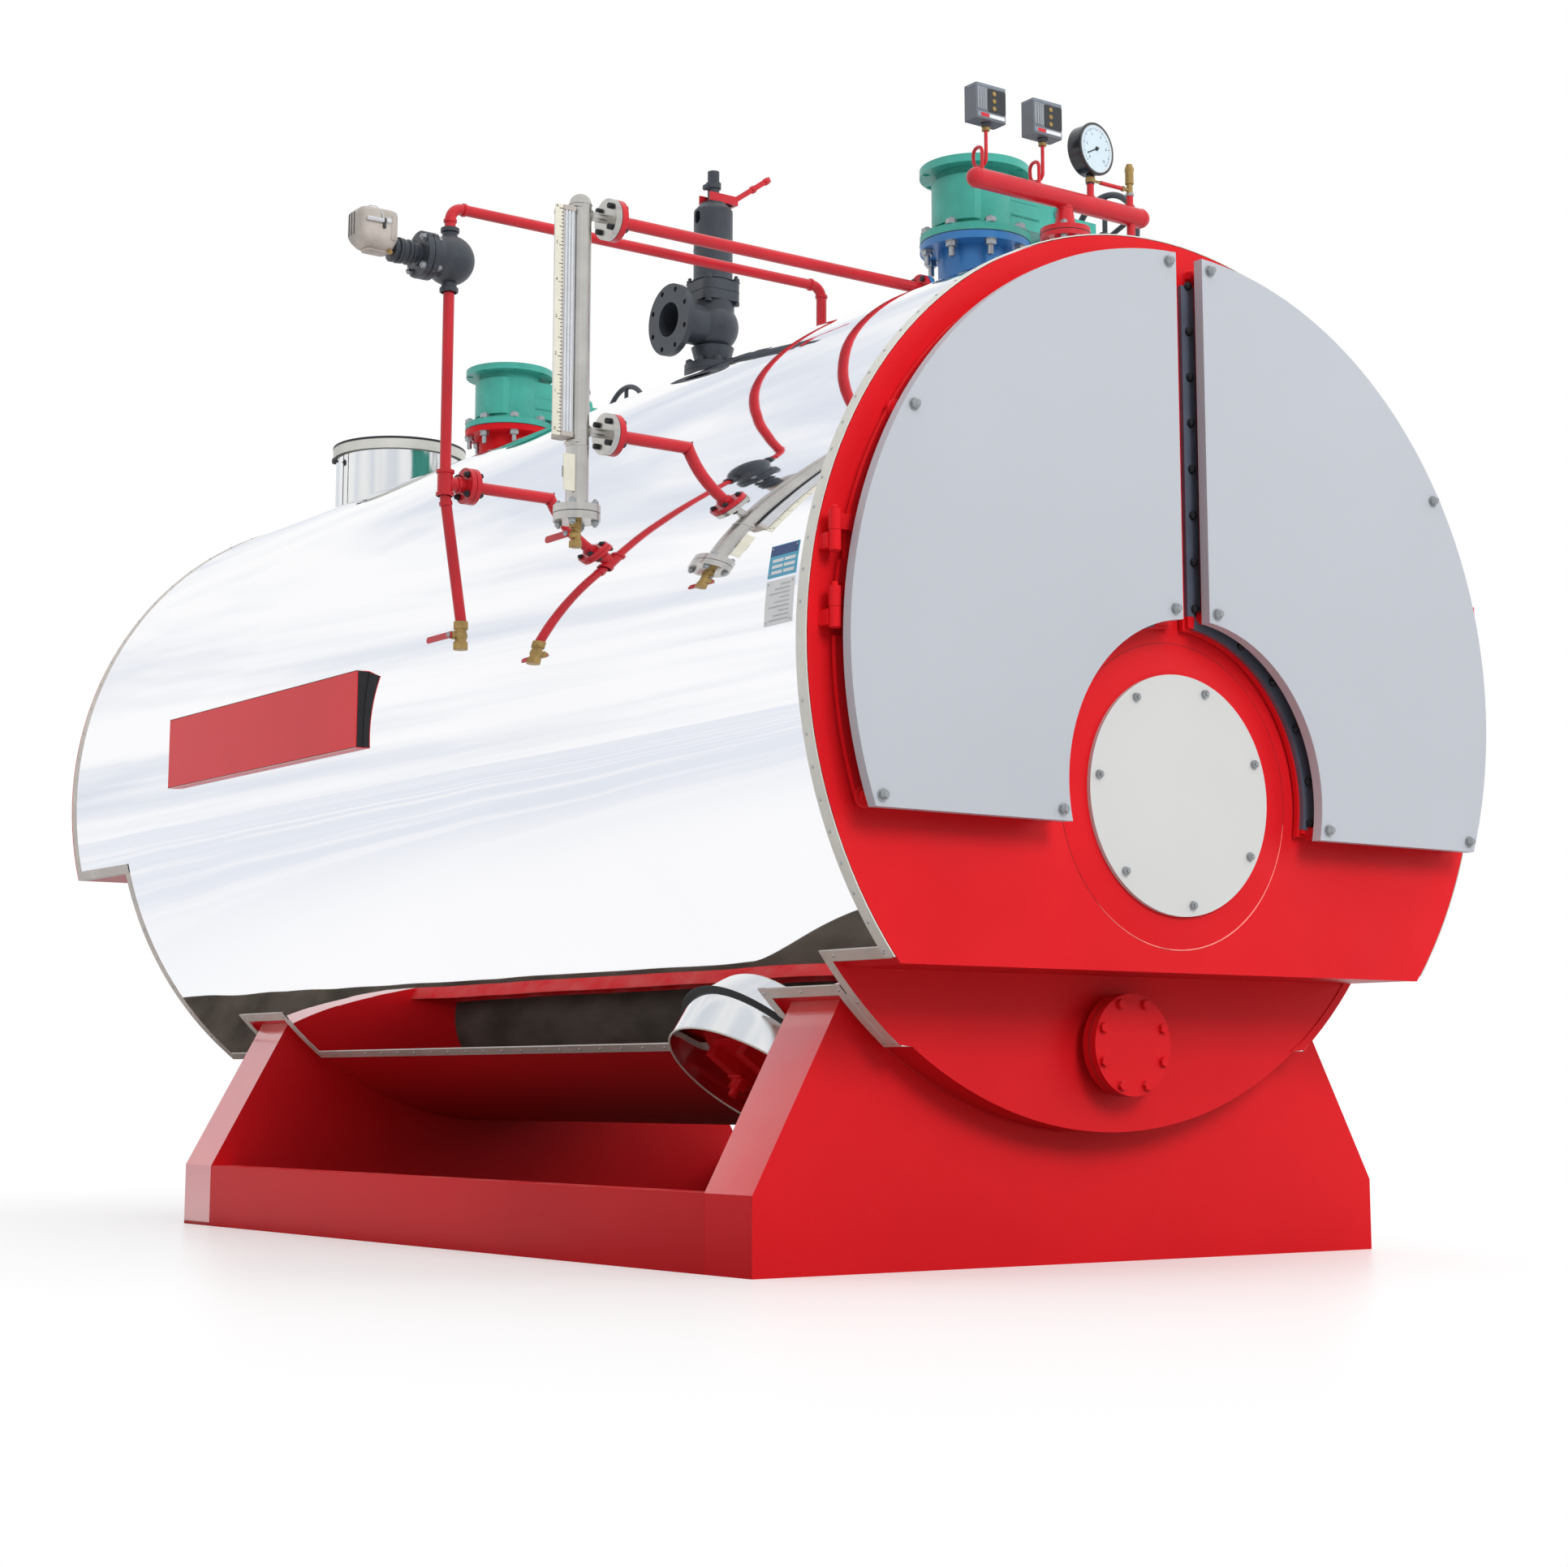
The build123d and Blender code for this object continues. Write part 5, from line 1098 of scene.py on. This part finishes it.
flange_bolts = both_sides(nut(18, 10, 4), (-1451, FLOAT_Y, FLOAT_Z), LEFT, 19, 57, FOUR)
make("float_flange_bolts", flange_bolts, zinc)
column_bolts = both_sides(nut(16, 9, 4), (-1294, FLOAT_Y, COLUMN_Z), RIGHT, 16, 39, FOUR)
make("column_flange_bolts", column_bolts, black_bolt)

fittings = [placed(band_ring(23, 26, 1.5, 10), (FLOAT_X, FLOAT_Y, z)) for z in (2110, 2175)]
fittings.append(placed(band_ring(20, 24, 1.5, 10), (-1336, FLOAT_Y, COLUMN_Z), RIGHT))
for x, z, way in (
    (-1332, BALANCE_Z, RIGHT),
    (FLOAT_X, 2910, UP),
    (-45, 2918, UP),
    (-83, BALANCE_Z, LEFT),
):
    fittings.append(placed(band_ring(15.5, 19.5, 1.2, 9), (x, FLOAT_Y, z), way))
lean = np.array([59.0, 0, -353.0]) / math.hypot(59, 353)
lean_foot = np.array([FLOAT_X, FLOAT_Y, 2110]) + lean * 14
fittings.append(placed(band_ring(15.5, 19, 1.2, 12), lean_foot, lean))
make("float_fittings", fittings, red_pipe)

# %% Float switch head
head_x, head_z = -1615.0, 2836.0
front_y = FLOAT_Y - 50


def on_head(shape, dx, dy, dz, way=UP):
    """A shape placed from the middle of the head."""
    return placed(shape, (head_x + dx, FLOAT_Y + dy, head_z + dz), way)


HEAD_LEVELS = [  # height, width, depth, and how far the level stands to the right
    (-54, 62, 56, 10),
    (-47, 86, 78, 8),
    (-32, 106, 94, 3),
    (-18, 116, 100, 0),
    (44, 116, 100, 0),
    (53, 112, 96, 0),
    (58, 100, 84, 0),
]
outlines = [rounded(width, depth, 17) + (shift, 0) for _, width, depth, shift in HEAD_LEVELS]
casting = [
    on_head(stacked(outlines, [level[0] for level in HEAD_LEVELS]), 0, 0, 0),
    on_head(block(74, 48, 9, 14, 3), 8, 0, -60),
    on_head(block(18, 70, 3, 3, 1.5), 42, -49, 6, FRONT),
]
head = make("float_head_casting", casting, head_grey, angle=50)
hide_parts("float_head")
# Three dark bars on the head's left face stand for its slots: their dark is painted shade.
slots = [on_head(block(3.4, 66, 2.4, 1.5, 0.5), -57, dy, 16, LEFT) for dy in (0, 16, 31)]
make("float_head_slot_shades", slots, gauge_black)
bail = [(6, -55, 16), (5, -54, 32), (0, -49, 50), (-9, -36, 64), (-20, -20, 69), (-30, -4, 64), (-34, 4, 56)]
clamp = [
    on_head(lathe([(5, 0), (6.5, 1.5), (6.5, 51), (5, 52)], 20), -46, -55, 20, RIGHT),
    on_head(lathe([(7, 0), (8, 1), (8, 4), (6, 5)]), 24, -49.5, 24, FRONT),
    on_head(tube(bail, 1.7, 8), 0, 0, 0),
]
make("float_head_clamp", clamp, rod_bright, slot="bright_steel")
make("float_head_latch", [on_head(block(9, 30, 5, 3, 1), 10, -49.5, 14, FRONT)], gauge_black)
make("float_head_screw", [on_head(hexagon(13, 12), 38, -26, -52, (0.3, -0.5, -0.8))], brass)

# %% [markdown]
# The flue outlet is a polished pipe. Its mouth has a dark rim, and a cream band below it, and a
# small knob and an upright seam are on its left side.

# %% Flue outlet details
RIM_H, BAND_H = 9, 38
ROOF_Z = 2700  # the seam starts below the jacket's top
flue_low, flue_high = corners("flue_outlet")
flue_r = (flue_high[0] - flue_low[0]) / 2
flue_foot = np.array([0, (flue_low[1] + flue_high[1]) / 2, 0])
rim_z = flue_high[2] - RIM_H
band_z = rim_z - BAND_H
make("flue_rim", [hoop(flue_foot, UP, flue_r - 0.5, rim_z, flue_high[2], 2.5)], black_bolt)
make("flue_band", [hoop(flue_foot, UP, flue_r - 0.5, band_z, rim_z, 1.6)], rim_cream)
seam_way = np.array([math.cos(math.radians(186)), math.sin(math.radians(186)), 0])
flue_seam = placed(block(3, 3, band_z - ROOF_Z, 1, 0.5), flue_foot + seam_way * flue_r + (0, 0, ROOF_Z))
make("flue_seam", [flue_seam], gauge_black)
knob_way = np.array([-0.996, 0.087, 0])
knob = lathe([(5, 0), (5, 8), (13, 10), (14, 16), (12, 22), (6, 25)], 20)
knob_foot = flue_foot + knob_way * (flue_r - 1) + (0, 0, 2916)
make("flue_knob", [placed(knob, knob_foot, knob_way)], gauge_black)

# %% [markdown]
# The manhole points down to the left. Its red lid is pulled up by two bridge bars, each with a stud
# and a nut in the middle. The polished collar round it is a rolled sheet with a pale edge, and black
# sealant closes the gap to the jacket. The solid in the frame has a wider foot there, so the sheet
# stands for that solid. The sealant follows the round jacket: every point of its ring is put at the
# height that the cylinder has there.

# %% Manhole details
MANHOLE_Y = 400.0
MANHOLE_DIP = math.radians(55)  # how far below level it points
COLLAR_R = 256
COLLAR_TOP = 1289  # measured from the boiler axis
manhole_way = np.array([-math.cos(MANHOLE_DIP), 0, -math.sin(MANHOLE_DIP)])
manhole_across = np.array([0, 1.0, 0])
manhole_along = np.cross(manhole_way, manhole_across)


def manhole_spot(distance, across=0.0, along=0.0):
    """A point over the manhole: a distance from the boiler axis, and offsets along Y and round the jacket."""
    middle = np.array([0, MANHOLE_Y, axis_z]) + manhole_way * distance
    return middle + manhole_across * across + manhole_along * along


def sealant_ring(section):
    """A ring of sealant: (radius, lift) points carried round, each lifted from the jacket's cylinder."""
    across, along, lift = (grid[..., None] for grid in carried(section, full_turn(128)))
    distance = np.sqrt((jacket_r + lift) ** 2 - along**2)
    return skin(manhole_spot(distance, across, along), close_u=True, close_v=True)


lid_nuts = [placed(nut(46, 24, 22), manhole_spot(1280, across), manhole_way) for across in (-70, 70)]
lid_nuts += [placed(block(60, 60, 6, 6), manhole_spot(1276, across), manhole_way) for across in (-70, 70)]
lid_nuts.append(ring_line(manhole_spot(1246), manhole_way, 150, 3))
make("manhole_nuts", lid_nuts, red_enamel)
sheet = hoop(manhole_spot(0), manhole_way, COLLAR_R, 1100, COLLAR_TOP, 6, 128)
collar_sheet = make("manhole_collar_sheet", [sheet], polished)
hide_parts("manhole_collar")
rim = ring_line(manhole_spot(COLLAR_TOP - 0.5), manhole_way, COLLAR_R + 3, 3.4, 96)
make("manhole_rim", [rim], rim_cream, slot="polished_steel")
sealant = sealant_ring([(260, -14), (282, -14), (279, 3), (268, 7), (260, 6)])
make("manhole_sealant", [sealant], gasket_black)

# %% [markdown]
# The name board is a folded sheet with open ends. The real one shows the firm's name; here it is
# bare. It stands less far out than the solid in the frame, so this piece stands for that solid. Dark
# sheets just inside its open ends are painted shade for its hollow, seen at the near end, and the cut edges
# of the sheet are pale.

# %% Name board
BOARD_SHIFT = 55  # how far the board lies behind its solid
BOARD_X = -1224.0
board_low, board_high = corners("name_board")
board_near, board_far = board_low[1] + BOARD_SHIFT, board_high[1] + BOARD_SHIFT
board_bottom, board_top = board_low[2] + 8, board_high[2] + 16
board_y, board_z = (board_near + board_far) / 2, (board_bottom + board_top) / 2


def jacket_x(z, gap=0.8):
    """The jacket's left side at a height: minus the root of radius squared less height squared."""
    return -np.sqrt((jacket_r + gap) ** 2 - (z - axis_z) ** 2)


def board_layer(x, heights, low_y, high_y):
    """A bar along the board: from x back to the jacket, with the jacket's curve at the heights given."""
    z = np.array(heights)
    outline = np.vstack([np.column_stack([np.full(len(z), x), z]), np.column_stack([jacket_x(z), z])[::-1]])
    return loft([np.insert(outline, 1, y, axis=1) for y in (low_y, high_y)])


face = block(board_top - board_bottom, board_far - board_near, 2.5, 1.2, 0.5)
board = [placed(face, (BOARD_X + 2.5, board_y, board_z), LEFT, 90)]
for z in (board_bottom, board_top - 2.2):
    board.append(board_layer(BOARD_X, (z, z + 2.2), board_near, board_far))
board_sheet = make("name_board_sheet", board, red_board)
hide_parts("name_board")
# Dark sheets just inside both open ends: painted shade for the board's hollow.
inside = np.linspace(board_bottom + 2.4, board_top - 2.4, 14)
inner_shades = [board_layer(BOARD_X + 2.6, inside, y, y + 2) for y in (board_near + 0.6, board_far - 2.6)]
make("name_board_inner_shade", inner_shades, gasket_black)
lip = block(1.6, board_far - board_near, 1.2, 0.5, 0.2)
lips = [placed(lip, (BOARD_X + 0.6, board_y, z - 0.6)) for z in (board_top, board_bottom)]
lips.append(placed(block(24, 1.4, 1.4, 0.4, 0.2), (BOARD_X + 12, board_near - 0.2, board_top - 1.4)))
make("name_board_lips", lips, rim_cream)
screw_y = np.linspace(board_near + 60, board_far - 60, 6)
screws = [placed(rivet(4, 2), (BOARD_X + 12, y, board_top - 0.2)) for y in screw_y]
make("name_board_screws", screws, zinc, slot="trim_steel")

# %% [markdown]
# The hinges are welded on: a bead runs along each lug, and each pin has a rounded end. The steel
# frame is welded too, so its inside corners get the same kind of bead.

# %% Hinge and base details
HINGE_X, HINGE_Y = 1146, -506
SEAT_HALF = 828  # half the width of a saddle's seat under the drum
rail_x, _, rail_top = corners("rail_right")[1]
seat_turn = np.linspace(math.asin(SEAT_HALF / drum_r), 0.08, 24)
hinge_caps, base_welds = [], []
for side in (-1, 1):
    x = side * HINGE_X
    for level in (1785, 1598):
        hinge_caps.append(placed(rivet(8, 4), (x, HINGE_Y, level + 57.6)))
        hinge_caps.append(ring_line((x, HINGE_Y, level - 49.5), UP, 12, 2.6, 28))
        for dx in (-15, 17):
            bead_x = x + side * dx
            path = np.linspace((bead_x, HINGE_Y + 40, level - 42), (bead_x, HINGE_Y + 40, level - 10), 8)
            hinge_caps.append(tube(path, 3.0, 8))
    bead_x = side * (rail_x - 1.5)
    for y in (saddles[0][1], saddles[1][0]):
        base_welds.append(tube(np.linspace((bead_x, y, 4), (bead_x, y, rail_top - 4), 12), 2.2, 8))
    for y in (*saddles[0], *saddles[1]):
        down, out, depth = carried([(drum_r + 1, y)], seat_turn)
        base_welds.append(tube(np.hstack([side * out, depth, axis_z - down]), 4.0, 8))
make("hinge_caps", hinge_caps, red_enamel)
make("base_welds", base_welds, red_enamel)

# %% [markdown]
# The camera stands low in front of the left corner and looks a little up, as in the photograph.
# The frame is nearly square, and the lens is a long one, so the far end shrinks only a little.

# %% Camera
IMAGE_W, IMAGE_H = 1932, 1931
FOCAL_PX = 3337.9
CENTRE_PX_Y = 844.86
YAW, PITCH, ROLL = 0.6265, 0.1475, -0.0009
camera_data = bpy.data.cameras.new("camera")
camera_data.sensor_width = 36.0
camera_data.lens = FOCAL_PX / IMAGE_W * camera_data.sensor_width
camera_data.shift_y = -(IMAGE_H / 2 - CENTRE_PX_Y) / IMAGE_W
camera = bpy.data.objects.new("camera", camera_data)
bpy.context.scene.collection.objects.link(camera)
camera.location = (-4.9782, -5.5942, 0.4604)
camera.rotation_mode = "XYZ"
camera.rotation_euler = (math.pi / 2 + PITCH, ROLL, -YAW)
camera_data.clip_start, camera_data.clip_end = 0.1, 200.0
bpy.context.scene.camera = camera
print("camera lens", round(camera_data.lens, 2), "shift", round(camera_data.shift_y, 4))


# %% [markdown]
# The studio is plain: a white floor that fades into the white background, a sky that lights more
# from above than from the side, and two large soft lamps. A mirror shows what stands round it, so
# three things are there only for what the camera doesn't look at straight: a little cloud in the
# sky, a pale clouded far floor, and dark ground right under the boiler, as a yard would be.


# %% Studio floor
FLOOR_SIZE = 160
YARD_Y, YARD_HALF = 2.45, 3.15  # middle and half length of the dark ground
FADE_Y = 1.6  # the paper fades out round this spot


def mix_shaders(tree, factor, first, second):
    """Blends two shader nodes; the factor is a value socket, 0 for the first and 1 for the second."""
    return add(tree, "ShaderNodeMixShader", {0: factor, 1: first.outputs[0], 2: second.outputs[0]})


def backdrop_floor():
    """White paper: shaded near the boiler, white further off; mirrors see its far end pale and clouded."""
    bpy.ops.mesh.primitive_plane_add(size=FLOOR_SIZE, location=(0, 0, 0))
    floor = bpy.context.object
    floor.name = "studio_floor"
    paper = bpy.data.materials.new("white paper floor")
    paper.use_nodes = True
    tree = paper.node_tree
    paper_look = {"Base Color": (0.97, 0.96, 0.955, 1.0), "Roughness": 0.3, "Specular IOR Level": 0.25}
    shaded = wire(tree, tree.nodes["Principled BSDF"], paper_look)
    white = add(tree, "ShaderNodeEmission", {"Color": WHITE})
    rays = add(tree, "ShaderNodeLightPath").outputs
    spot = object_place(tree)

    centred = add(tree, "ShaderNodeMapping", {"Vector": spot, "Location": (0.0, -FADE_Y, 0.0)})
    distance = add(tree, "ShaderNodeVectorMath", {0: centred.outputs[0]}, operation="LENGTH").outputs["Value"]
    faded = mix_shaders(tree, ranged(tree, distance, 2.0, 5.0, 0.35), shaded, white)

    streaks = add(tree, "ShaderNodeMapping", {"Vector": spot, "Scale": (0.16, 0.5, 1.0)}).outputs[0]
    clear = ranged(tree, noise(tree, streaks, 1.0, 3.0), 0.46, 0.62, 1.0, 0.45, smooth=True)
    away = ranged(tree, distance, 2.5, 9.0, smooth=True)
    haze = blend(tree, maths(tree, "MULTIPLY", clear, away), WHITE, (0.81, 0.84, 0.9, 1.0))
    mirrored = add(tree, "ShaderNodeEmission", {"Color": haze})
    dull = add(tree, "ShaderNodeBsdfDiffuse", {"Color": (0.5, 0.48, 0.47, 1.0)})
    bright = mix_shaders(tree, rays["Is Glossy Ray"], dull, mirrored)

    sockets = {"Color": (0.085, 0.074, 0.062, 1.0), "Scale": 3.0, "Amount": 0.35}
    mottled = add(tree, "ShaderNodeGroup", sockets, node_tree=tone)
    yard = add(tree, "ShaderNodeBsdfDiffuse", {"Color": mottled.outputs["Color"]})
    place = add(tree, "ShaderNodeSeparateXYZ", {"Vector": spot}).outputs
    half_width = ranged(tree, place["Y"], 0.85, 1.3, 1.58, 1.2, smooth=True)
    across = maths(tree, "DIVIDE", maths(tree, "ABSOLUTE", place["X"]), half_width)
    behind = maths(tree, "SUBTRACT", place["Y"], YARD_Y)
    along = maths(tree, "ABSOLUTE", maths(tree, "MULTIPLY", behind, 1 / YARD_HALF))
    beyond = maths(tree, "GREATER_THAN", maths(tree, "MAXIMUM", across, along), 1.0)
    unseen = mix_shaders(tree, beyond, yard, bright)
    seen = mix_shaders(tree, rays["Is Camera Ray"], unseen, faded)
    wire(tree, tree.nodes["Material Output"], {"Surface": seen.outputs[0]})
    floor.data.materials.append(paper)
    floor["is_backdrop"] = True


backdrop_floor()
print("floor", FLOOR_SIZE, "m wide, dark for", 2 * YARD_HALF, "m under the boiler")


# %% Studio sky and lamps
def white_world():
    """Light that grows from the horizon up, white behind the object, and faint clouds for reflections."""
    world = bpy.data.worlds.new("studio")
    bpy.context.scene.world = world
    world.use_nodes = True
    tree = world.node_tree
    tree.nodes.clear()
    rays = add(tree, "ShaderNodeLightPath").outputs
    way = add(tree, "ShaderNodeTexCoord").outputs["Generated"]
    flat = add(tree, "ShaderNodeMapping", {"Vector": way, "Scale": (1.0, 1.0, 3.5)}).outputs[0]
    cloud = ranged(tree, noise(tree, flat, 2.2, 4.0, 0.55), 0.42, 0.66, smooth=True)
    sky = blend(tree, cloud, WHITE, (0.74, 0.78, 0.85, 1.0))
    height = add(tree, "ShaderNodeSeparateXYZ", {"Vector": way}).outputs["Z"]
    overcast = blend(tree, height, (0.18, 0.18, 0.18, 1.0), WHITE)
    light = add(tree, "ShaderNodeBackground", {"Color": overcast, "Strength": 1.32})
    mirrored_sky = add(tree, "ShaderNodeBackground", {"Color": sky})
    backdrop = add(tree, "ShaderNodeBackground", {"Color": WHITE})
    lit = mix_shaders(tree, rays["Is Glossy Ray"], light, mirrored_sky)
    straight = maths(tree, "MAXIMUM", rays["Is Camera Ray"], rays["Is Transmission Ray"])
    shown = mix_shaders(tree, straight, lit, backdrop)
    add(tree, "ShaderNodeOutputWorld", {"Surface": shown.outputs[0]})


def soft_lamp(name, place, aim, size, power):
    """A large square lamp that points at a spot and isn't seen in reflections."""
    lamp_data = bpy.data.lights.new(name, "AREA")
    lamp_data.size = size
    lamp_data.energy = power
    lamp = bpy.data.objects.new(name, lamp_data)
    bpy.context.scene.collection.objects.link(lamp)
    lamp.location = place
    away = lamp.location - lamp.location.__class__(aim)
    lamp.rotation_mode = "QUATERNION"
    lamp.rotation_quaternion = away.to_track_quat("Z", "Y")
    lamp.visible_glossy = False


bpy.context.scene.view_settings.view_transform = "Standard"
white_world()
soft_lamp("key", (-1.0, -11.5, 7.5), (0, 0.0, 1.0), 4.5, 700.0)
soft_lamp("fill", (8.0, -7.0, 5.0), (0, 1.0, 1.2), 6.0, 200.0)
print("sky and", len(bpy.data.lights), "lamps")

# %% Finish
low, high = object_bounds()
